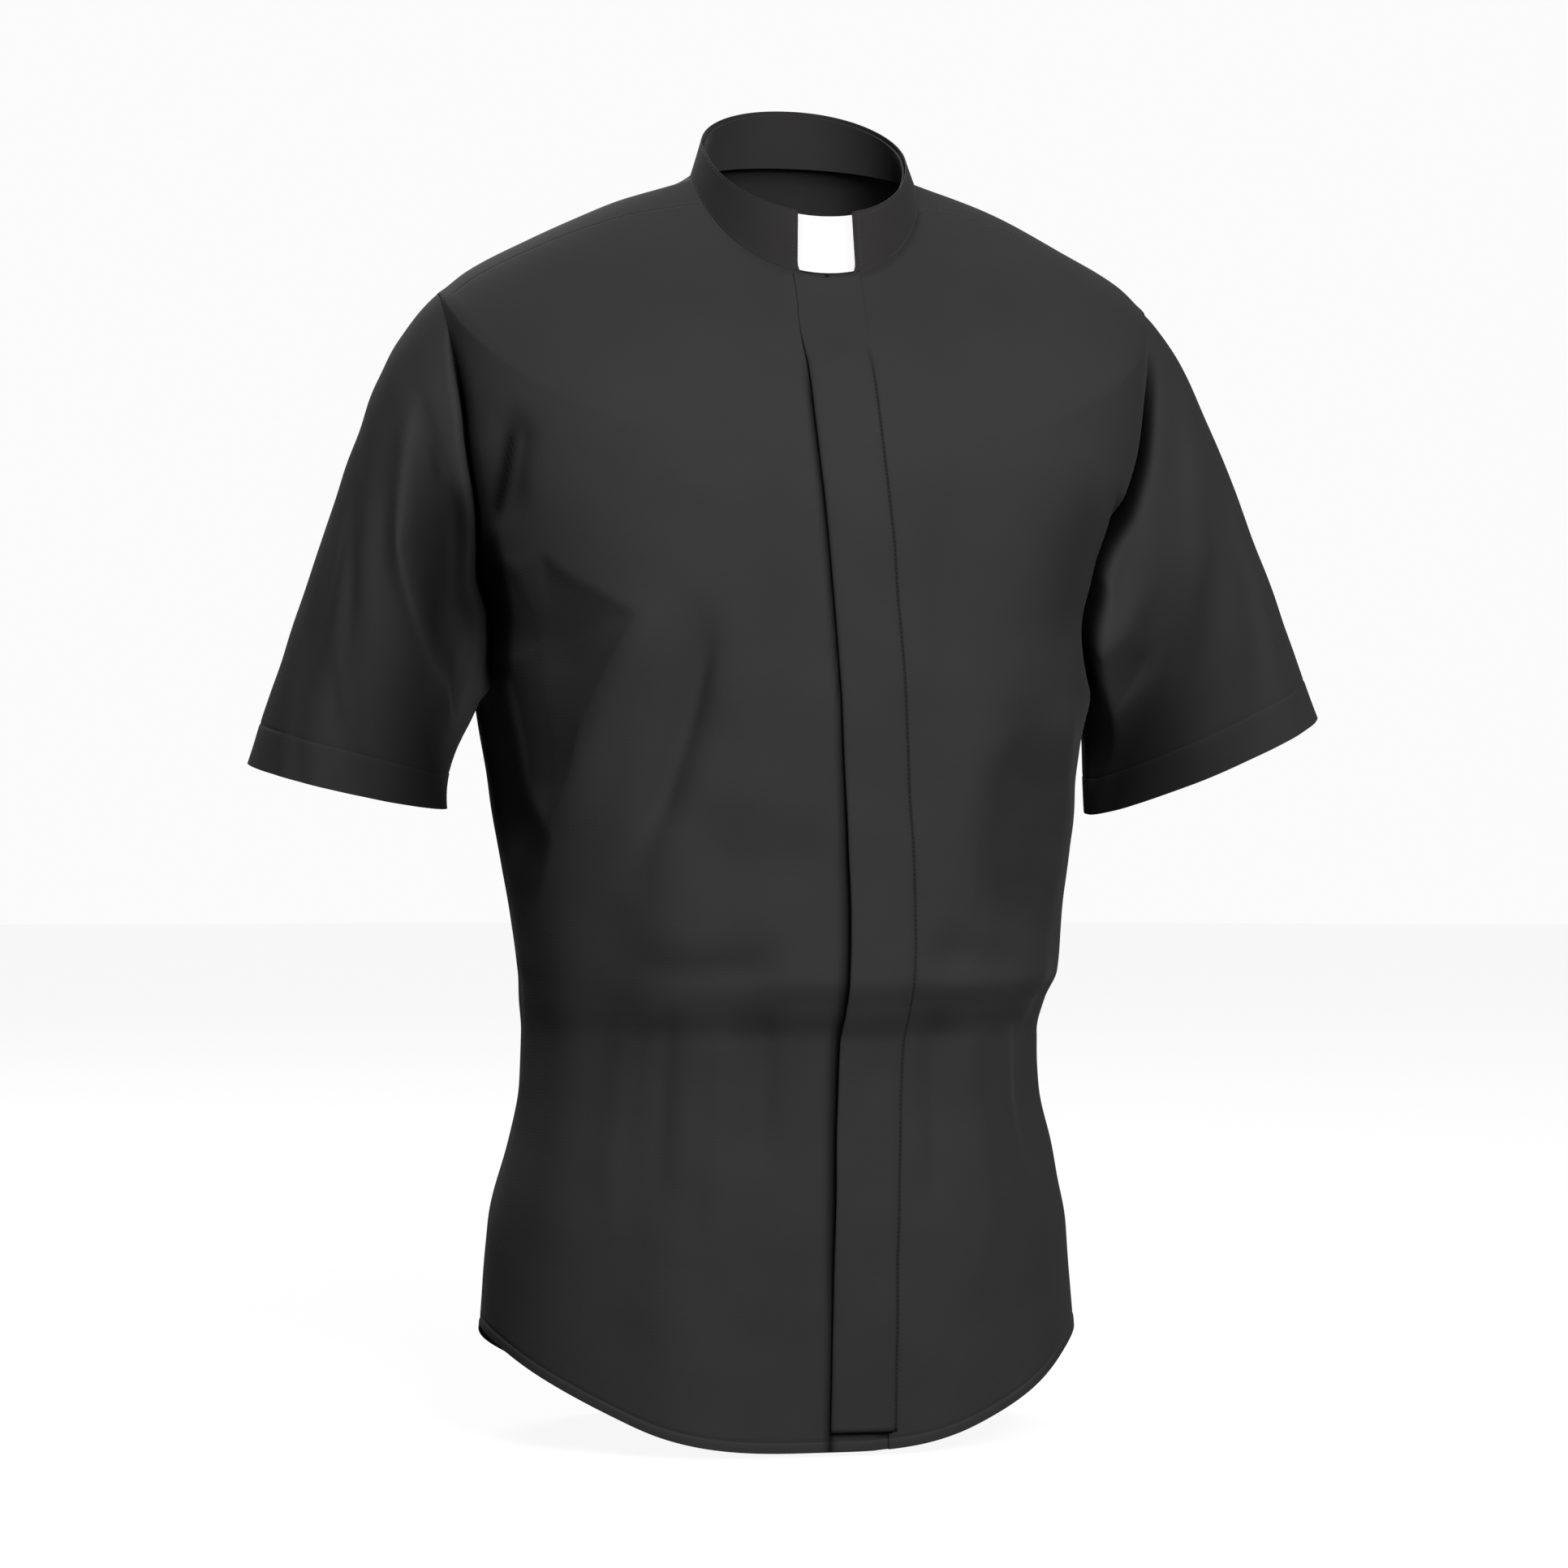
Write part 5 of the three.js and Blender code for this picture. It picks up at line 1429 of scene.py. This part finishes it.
@dataclass
class Collar:
    """A stand that is open at the front, a band inside it, and a white tab that slides between them."""

    stand_cut: Cut
    band_cut: Cut
    # The top edge: how far it reaches to the sides, the front and the back, and how high it is there
    half: float = 63.0
    front: float = 65.0
    back: float = 57.0
    front_z: float = -25.5
    side_z: float = 20.0
    back_z: float = 52.0
    square: float = 2.1
    blend: float = 1.05
    # The window that shows the tab, with its lower corners rounded
    window: float = rad(15.1)
    corner: float = 0.2
    corner_angle: float = rad(3.6)
    close: tuple[float, ...] = (0.001, 0.002, 0.003, 0.004, 0.006)
    tab_half: float = rad(40.6)
    wall: float = 1.8
    stand_wall: float = 0.95
    tab_wall: float = 1.0
    band_wall: float = 1.4
    round_columns: int = 150
    tab_columns: int = 60

    # The lowest and highest share of the stand that each layer covers, and the gap between two layers
    STAND_LEVELS = (-0.04, 1)
    TAB_LEVELS = (0.065, 0.955)
    BAND_LEVELS = (-0.04, 0.93)
    LAYER_GAP = 0.3
    # How the window's edge rolls in, where the band leaves the tab's inner face, and how round the edges are
    ROLL_IN = 1.1
    ROLL_REACH = (rad(0.2), rad(1.9))
    BAND_STEP = (rad(46), rad(60))
    BAND_START = rad(1.2)
    EDGE_ROUNDING = 0.35

    def point(self, kit: Wardrobe, psi: Array, share: Array) -> Array:
        """The outer face of the stand, from the neck seam (0) to its top edge (1)."""
        base = kit.figure.point(psi, 0 * psi)
        is_front = np.cos(psi) >= 0
        depth = np.where(is_front, self.front, self.back)
        face_z = np.where(is_front, self.front_z, self.back_z)
        across, forward = np.abs(np.sin(psi)) / self.half, np.abs(np.cos(psi)) / depth
        reach = (across**self.square + forward**self.square) ** (-1 / self.square)
        z = mix(self.side_z, face_z, (reach * np.abs(np.cos(psi)) / depth) ** self.blend)
        top = np.stack([reach * np.sin(psi), -reach * np.cos(psi), z], -1)
        return mix(base, top, share[..., None])

    def normal(self, kit: Wardrobe, psi: Array, share: Array) -> Array:
        """The way out of the stand."""
        up = self.point(kit, psi, share * 0 + 1) - self.point(kit, psi, share * 0)
        round_ = self.point(kit, psi + 0.004, share) - self.point(kit, psi - 0.004, share)
        return unit(np.cross(round_, up))

    def window_edge(self, share: Array) -> Array:
        """The angle of the window's edge at a height, with the lower corners rounded."""
        low = np.clip(self.corner - share, 0, self.corner) / self.corner
        return self.window - self.corner_angle * (1 - np.sqrt(1 - low * low))

    def strip(
        self,
        kit: Wardrobe,
        name: str,
        start: Callable[[Array], Array] | float,
        height: tuple[float, float],
        lift: Callable[[Array], Array],
        columns: int,
        wall: float,
        end: float = 2 * math.pi,
    ) -> bpy.types.Object:
        """Builds a strip that follows the stand.

        Args:
            kit: The form.
            name: The piece's name.
            start: The angle at which it starts, or how that depends on the height.
            height: Its lowest and highest share of the stand.
            lift: How far its outer face stands off the stand's, by angle.
            columns: How many steps it has round the neck.
            wall: Its thickness.
            end: The sum of the angles at which it starts and ends.

        Returns:
            The piece.
        """
        levels = mix(*height, stepped(28, (0.012, 0.024)))
        share, way = np.meshgrid(levels, stepped(columns, self.close), indexing="ij")
        first = start(share) if callable(start) else start
        psi = mix(first, end - first, way)
        points = self.point(kit, psi, share) + self.normal(kit, psi, share) * lift(psi)[..., None]
        obj = sheet_mesh(name, points)
        thicken(obj, wall)
        edge = obj.modifiers.new("rounded edges", "BEVEL")
        edge.width = wall * self.EDGE_ROUNDING * MM
        edge.segments = 2
        edge.angle_limit = rad(50)
        return obj

    def build(self, kit: Wardrobe) -> list[bpy.types.Object]:
        """Builds and dresses the stand, the tab and the band."""
        turn = 2 * math.pi
        tab_lift = -(self.wall + self.LAYER_GAP)
        behind = tab_lift - self.tab_wall - self.LAYER_GAP

        def roll_in(psi: Array) -> Array:
            """The stand rolls in at the window."""
            from_front = np.minimum(psi, turn - psi)
            start, end = (self.window + reach for reach in self.ROLL_REACH)
            return -self.ROLL_IN * (1 - smooth(start, end, from_front))

        def tab_in(psi: Array) -> Array:
            """The tab lies inside the stand."""
            return 0 * psi + tab_lift

        def band_in(psi: Array) -> Array:
            """The band lies inside the tab, and inside the stand where the tab has ended."""
            from_front = np.where(psi > math.pi, turn - psi, psi)
            return mix(behind, tab_lift, smooth(*self.BAND_STEP, from_front))

        stand = self.strip(
            kit, "collar_stand_cloth", self.window_edge, self.STAND_LEVELS, roll_in,
            self.round_columns, self.stand_wall,
        )
        settle(stand, kit.collar, "collar_stand")
        tab = self.strip(
            kit, "white_tab_sheet", -self.tab_half, self.TAB_LEVELS, tab_in,
            self.tab_columns, self.tab_wall, end=0,
        )
        settle(tab, kit.tab, "white_tab")
        band = self.strip(
            kit, "neckband_cloth", self.BAND_START, self.BAND_LEVELS, band_in,
            self.round_columns, self.band_wall,
        )
        settle(band, kit.collar, "neckband")
        return [stand, tab, band]


@dataclass
class Buttons:
    """Seven four-hole buttons under the fly."""

    count: int = 7
    first_z: float = -122.0
    pitch: float = 85.0
    radius: float = 5.5
    thick: float = 2.0
    lift: float = 0.45
    rounding: float = 0.55
    hole_radius: float = 0.55
    hole_place: float = 1.35
    holes: int = 4

    # The disc starts this much smaller, so that its rim can be told from the holes
    INSET = 0.5

    def build(self, kit: Wardrobe) -> list[bpy.types.Object]:
        """Builds and dresses the buttons."""
        return [self.build_one(kit, index) for index in range(self.count)]

    def build_one(self, kit: Wardrobe, index: int) -> bpy.types.Object:
        """Builds and dresses one button."""
        figure = kit.figure
        z = self.first_z - index * self.pitch
        hem = float(figure.hem_drop(0.0))
        drop = float(bisect(0.0, hem, lambda value: figure.point(0.0, value)[..., 2] < z))
        psi = float(figure.angle_at_x(figure.at("opening", drop), drop))
        normal = Vector(figure.normal(psi, drop))
        foot = Vector(figure.point(psi, drop)) + normal * self.lift
        bm = bmesh.new()
        bmesh.ops.create_circle(bm, segments=32, radius=self.radius - self.INSET)
        edges = list(bm.edges)
        for k in range(self.holes):
            turn = Matrix.Rotation(math.pi / 4 + k * 2 * math.pi / self.holes, 4, "Z")
            turn = turn @ Matrix.Translation((self.hole_place, 0, 0))
            before = set(bm.edges)
            bmesh.ops.create_circle(bm, segments=10, radius=self.hole_radius, matrix=turn)
            edges += [e for e in bm.edges if e not in before]
        bmesh.ops.triangle_fill(bm, use_beauty=True, use_dissolve=False, edges=edges)
        walls = bmesh.ops.extrude_face_region(bm, geom=bm.faces[:] + bm.edges[:])
        moved = [v for v in walls["geom"] if isinstance(v, bmesh.types.BMVert)]
        bmesh.ops.translate(bm, verts=moved, vec=(0, 0, self.thick))
        outer = [e for e in bm.edges if all(v.co.xy.length > self.radius - 1.2 * self.INSET for v in e.verts)]
        rims = [e for e in outer if abs(e.verts[0].co.z - e.verts[1].co.z) < 1e-4]
        for vert in {v for e in outer for v in e.verts}:
            vert.co.xy *= self.radius / (self.radius - self.INSET)
        bmesh.ops.bevel(
            bm, geom=rims, offset=self.rounding, affect="EDGES", segments=3, profile=0.5, material=-1
        )
        bmesh.ops.recalc_face_normals(bm, faces=bm.faces)
        turn = Vector((0, 0, 1)).rotation_difference(normal).to_matrix().to_4x4()
        bmesh.ops.transform(bm, matrix=Matrix.Translation(foot) @ turn, verts=bm.verts)
        bmesh.ops.scale(bm, vec=(MM, MM, MM), verts=bm.verts)
        obj = as_object(f"four_hole_button_{index + 1}", bm)
        settle(obj, kit.button, f"button_{index + 1}")
        return obj


@dataclass
class Stitching:
    """The rows of stitches that hold the hems, the yoke, the collar and the fly."""

    pitch: float = 2.7
    long: float = 1.0
    thick: float = 0.24
    sink: float = 0.05
    beside_yoke: float = 2.2

    # Where the tail's row ends on each side of the fly, measured at this drop, and how deep its groove is
    TAIL_DROP = 800.0
    TAIL_ENDS = (23.0, -24.0)
    TAIL_GROOVE = 0.45
    SLEEVE_GROOVE = 0.5
    # Where the stand's rows run: beside the window, and as shares of its height
    COLLAR_INSET = rad(2.6)
    COLLAR_LOW = 0.05
    COLLAR_SIDE = 0.09
    COLLAR_HIGH = 0.93

    def build(self, kit: Wardrobe) -> list[bpy.types.Object]:
        """Builds and dresses every row."""
        parts = {type(part): part for part in shirt_parts()}
        rows = {
            "tail_stitches": self.tail(kit),
            "yoke_stitches": self.yoke(kit),
            "fly_stitches": self.fly(kit, parts[Fly]),
            "collar_stitches": self.collar(kit, parts[Collar]),
        }
        for part in shirt_parts():
            if isinstance(part, Sleeve):
                rows[f"{part.node}_stitches"] = self.sleeve(kit, part)
        return [self.sew(kit, name, lines) for name, lines in rows.items()]

    def tail(self, kit: Wardrobe) -> list[tuple[Array, Array]]:
        """The hem of the tail, from one side of the fly round to the other."""
        figure = kit.figure
        middle = figure.at("opening", self.TAIL_DROP)
        start, end = (float(figure.angle_at_x(middle + off, self.TAIL_DROP)) for off in self.TAIL_ENDS)
        psi = np.linspace(start, end + 2 * math.pi, 900)
        drop = figure.hem_drop(psi) - TAIL_HEM.depth
        normal = figure.normal(psi, drop)
        return [(figure.point(psi, drop) - normal * self.TAIL_GROOVE, normal)]

    def yoke(self, kit: Wardrobe) -> list[tuple[Array, Array]]:
        """The rows beside the yoke's three seams."""
        figure, pattern = kit.figure, kit.pattern
        psi, drop = pattern.yoke_seam(np.linspace(0.01, 0.99, 400))
        places = [(psi, drop - self.beside_yoke)]
        for side, opening in figure.OPENINGS.items():
            junction = float(opening.place(pattern.yoke_front[side])[1])
            drop = np.linspace(3, junction - 6, 160)
            angle = figure.ridge_angle(self.beside_yoke - pattern.YOKE_FORWARD, drop)
            places.append((side.value * angle, drop))
        return [(figure.point(psi, drop), figure.normal(psi, drop)) for psi, drop in places]

    def fly(self, kit: Wardrobe, fly: Fly) -> list[tuple[Array, Array]]:
        """The row along the fly's sewn edge."""
        drop = np.linspace(20, kit.figure.hem_drop(0) - fly.hem_gap - 4, 700)
        return [fly.line(kit, drop, fly.STITCHES)]

    def collar(self, kit: Wardrobe, collar: Collar) -> list[tuple[Array, Array]]:
        """The rows along the stand's top edge, its bottom edge and the window."""
        start, end = collar.window + self.COLLAR_INSET, 2 * math.pi - collar.window - self.COLLAR_INSET
        high_round = np.linspace(start, end, 700)
        low_round = np.linspace(collar.window, 2 * math.pi - collar.window, 700)
        up = np.linspace(self.COLLAR_SIDE, self.COLLAR_HIGH, 60)
        places = [
            (high_round, 0 * high_round + self.COLLAR_HIGH),
            (low_round, 0 * low_round + self.COLLAR_LOW),
            (start + 0 * up, up),
            (end + 0 * up, up),
        ]
        return [(collar.point(kit, psi, share), collar.normal(kit, psi, share)) for psi, share in places]

    def sleeve(self, kit: Wardrobe, sleeve: Sleeve) -> list[tuple[Array, Array]]:
        """The row round a sleeve's hem."""
        phi = np.linspace(0, 2 * math.pi, 600)
        length = sleeve.length(kit, phi)
        lines = [sleeve.point(kit, phi, 1 - (SLEEVE_HEM.depth + step) / length) for step in (0, 3)]
        normal = unit(np.cross(np.gradient(lines[0], axis=0), lines[1] - lines[0]))
        outward = np.sign((normal * (lines[0] - lines[0].mean(axis=0))).sum(-1, keepdims=True))
        return [(lines[0] - normal * outward * self.SLEEVE_GROOVE, normal * outward)]

    def sew(self, kit: Wardrobe, name: str, lines: list[tuple[Array, Array]]) -> bpy.types.Object:
        """Sews rows of stitches along lines.

        Args:
            kit: The finishes.
            name: The piece's name.
            lines: Each row's points and the way out of the cloth at each.

        Returns:
            The piece.
        """
        bm = bmesh.new()
        for points, normals in lines:
            run = np.concatenate([[0], np.cumsum(np.linalg.norm(np.diff(points, axis=0), axis=1))])
            for at in np.arange(self.pitch / 2, run[-1], self.pitch):
                place, ahead, normal = (
                    np.array([np.interp(to, run, column) for column in table.T])
                    for to, table in ((at, points), (at + 0.5, points), (at, normals))
                )
                way, out = unit(ahead - place), unit(normal)
                side = unit(np.cross(out, way))
                frame_of = np.stack([way * self.long, side * self.thick, out * self.thick], -1)
                turn = Matrix(frame_of.tolist()).to_4x4()
                centre = Matrix.Translation(Vector(place - out * self.sink))
                bmesh.ops.create_icosphere(bm, subdivisions=1, radius=1, matrix=centre @ turn)
        bmesh.ops.scale(bm, vec=(MM, MM, MM), verts=bm.verts)
        bmesh.ops.recalc_face_normals(bm, faces=bm.faces)
        for face in bm.faces:
            face.smooth = True
        obj = as_object(name, bm)
        settle(obj, kit.thread)
        return obj


@dataclass(frozen=True)
class Lamp:
    """A square soft light: its place and size in metres, and its power in watts."""

    name: str
    place: tuple[float, float, float]
    size: float
    power: float

    def build(self, target: tuple[float, float, float]) -> None:
        """Hangs the lamp, turned towards a target."""
        light = bpy.data.lights.new(self.name, "AREA")
        light.size, light.energy = self.size, self.power
        holder = bpy.data.objects.new(self.name, light)
        holder.location = self.place
        holder.rotation_euler = (Vector(target) - Vector(self.place)).to_track_quat("-Z", "Y").to_euler()
        bpy.context.scene.collection.objects.link(holder)


@dataclass
class Studio:
    """The camera, the pale floor and the soft lights."""

    azimuth: float = rad(-12)
    distance: float = 3.0
    target: tuple[float, float, float] = (-0.01174, 0.0025, -0.37)
    lens: float = 111.8
    floor_z: float = -0.768
    floor_radius: float = 11.0
    backdrop_radius: float = 12.0
    room_light: float = 0.07
    lit: tuple[float, float, float] = (0, 0, -0.35)
    lamps: tuple[Lamp, ...] = (
        Lamp("key", (0.45, -2.9, 1.25), 1.4, 102),
        Lamp("fill", (-0.9, -2.9, 0.6), 1.6, 7),
        Lamp("back", (-0.6, 2.4, 2.4), 1.8, 60),
    )

    def build(self) -> None:
        """Builds the studio."""
        scene = bpy.context.scene
        data = bpy.data.cameras.new("camera")
        data.lens, data.sensor_width = self.lens, 36
        camera = bpy.data.objects.new("camera", data)
        back = Vector((math.sin(self.azimuth), -math.cos(self.azimuth), 0))
        camera.location = Vector(self.target) + back * self.distance
        camera.rotation_euler = (math.pi / 2, 0, self.azimuth)
        scene.collection.objects.link(camera)
        scene.camera = camera
        self.stage()
        for lamp in self.lamps:
            lamp.build(self.lit)
        scene.view_settings.view_transform = "Standard"
        world = bpy.data.worlds.new("soft room light")
        world.use_nodes = True
        glow = world.node_tree.nodes["Background"].inputs
        glow["Color"].default_value = (1, 1, 1, 1)
        glow["Strength"].default_value = self.room_light
        scene.world = world

    def stage(self) -> None:
        """Lays the floor under the shirt tail and hangs the pale backdrop round it."""
        bm = bmesh.new()
        bmesh.ops.create_circle(bm, cap_ends=True, segments=64, radius=self.floor_radius)
        bmesh.ops.translate(bm, verts=bm.verts, vec=(0, 0, self.floor_z))
        floor = as_object("floor", bm)
        bm = bmesh.new()
        bmesh.ops.create_uvsphere(bm, u_segments=48, v_segments=24, radius=self.backdrop_radius)
        bmesh.ops.reverse_faces(bm, faces=bm.faces)
        backdrop = as_object("backdrop", bm)
        floor.data.materials.append(PaperFinish(name="floor_paper", shade="6e6e6e", glow=0.92).make())
        backdrop.data.materials.append(PaperFinish(name="backdrop_paper", shade="101010", glow=0.966).make())
        for obj in (floor, backdrop):
            obj.visible_diffuse = obj.visible_glossy = obj.visible_shadow = False


def shirt_parts() -> list[object]:
    """The sub-assemblies, in the order in which they are built."""
    return [
        Front(Side.RIGHT, "right_front", 24, Cut(0.33, 0.72, 0.196)),
        Front(Side.LEFT, "left_front", 15, Cut(0.29, 0.72, 0.140)),
        Back(Cut(0.56, 0.70, 0.304)),
        Yoke(Cut(0.5, 0.25, 0.062)),
        Fly(Cut(0.045, 0.74, 0.033)),
        Sleeve(
            Side.RIGHT, "right_sleeve", (-282, 0, -371), 61, 60, rad(12), rad(6), rad(20), rad(-4),
            Cut(0.46, 0.25, 0.075),
            folds=(
                Fold(142, 0.2, 104, 0.42, 24, 4),
                Fold(112, 0.4, 40, 0.42, 24, 4),
                Fold(112, 0.14, 50, 0.2, 26, -5),
                Fold(168, 0.45, 140, 0.85, 26, -3),
                Fold(240, 0.25, 285, 0.85, 20, 4),
                Fold(262, 0.2, 310, 0.75, 18, -5),
            ),
            creases=(
                # The ridge that runs down from the cap, with the cloth bent back on its inner side and shade
                # painted there
                Hollow((
                    (28, 34), (42, 42), (66, 56), (90, 70), (110, 81), (126, 84), (143, 74), (159, 56),
                    (168, 38),
                ), 8, 12, 1.0, 0.15, 0.2, 110, 0.6),
                Crease(164, 50, 126, 86, 48, 46, 1.6, 5, 12, 1.5, 0.3, 0.2),
                Crease(178, 132, 160, 152, 132, 150, -2.5, 9, 12, 4, 0.35, 0.35),
                Crease(140, 176, 128, 186, 108, 176, -2, 8, 10, 4, 0.35, 0.35),
                Crease(196, 40, 188, 92, 196, 150, 2, 12, 14, 5, 0.4, 0.4),
                Crease(258, 50, 280, 84, 330, 60, 4, 9, 18, 2, 0.3, 0.3),
                Crease(236, 70, 250, 110, 268, 150, -3, 10, 10, 3, 0.35, 0.35),
            ),
        ),
        Sleeve(
            Side.LEFT, "left_sleeve", (255, 0, -358), 80.7, 54, rad(22.5), rad(4), rad(22), rad(4),
            Cut(0.47, 0.25, 0.076),
            folds=(
                Fold(54, 0.12, 90, 0.32, 18, 4),
                Fold(45, 0.32, 82, 0.46, 20, -5),
                Fold(118, 0.5, 84, 0.9, 24, -3),
                Fold(150, 0.45, 128, 0.95, 18, 3),
                Fold(245, 0.25, 280, 0.9, 22, -5),
                Fold(214, 0.2, 236, 0.85, 20, 4),
            ),
            creases=(
                Crease(56, 8, 81, 38, 106, 54, 2.5, 8, 6, 1.2, 0.25, 0.35),
                Crease(40, 26, 68, 50, 96, 68, -4, 6, 12, 2, 0.3, 0.4),
                Crease(118, 8, 104, 24, 80, 22, -2, 7, 9, 2, 0.3, 0.35),
                Crease(130, 84, 116, 106, 98, 122, -2.5, 9, 11, 4, 0.35, 0.35),
                Crease(150, 40, 132, 78, 112, 92, 2.5, 12, 14, 5, 0.4, 0.4),
                Crease(176, 90, 164, 134, 150, 172, -2, 12, 12, 5, 0.4, 0.3),
                Crease(250, 46, 280, 80, 330, 56, 4, 18, 9, 2, 0.3, 0.3),
                Crease(232, 74, 246, 112, 262, 150, -3, 10, 10, 3, 0.35, 0.35),
            ),
        ),
        Collar(Cut(0.39, 0.045, 0.0125), Cut(0.41, 0.042, 0.0125)),
        Buttons(),
        Stitching(),
    ]


def main() -> None:
    """Builds the shirt and the studio around it."""
    logging.basicConfig(level=logging.INFO, format="%(message)s")
    figure = Figure()
    # The collar's cloth is fused to a stiff lining: flatter and a little darker than the rest
    fused = PoplinFinish(name="fused_collar_cloth", color="262425", worn="2e2c2d", roughness=0.86, sheen=0.15)
    kit = Wardrobe(
        figure=figure,
        pattern=Pattern(figure),
        poplin=PoplinFinish().make(),
        collar=fused.make(),
        tab=TabFinish().make(),
        button=ButtonFinish().make(),
        thread=ThreadFinish().make(),
    )
    Studio().build()
    for part in shirt_parts():
        made = part.build(kit)
        for obj in made if isinstance(made, list) else [made]:
            LOG.info("%s: %d faces", obj.name, len(obj.data.polygons))


if __name__ == "__main__":
    main()
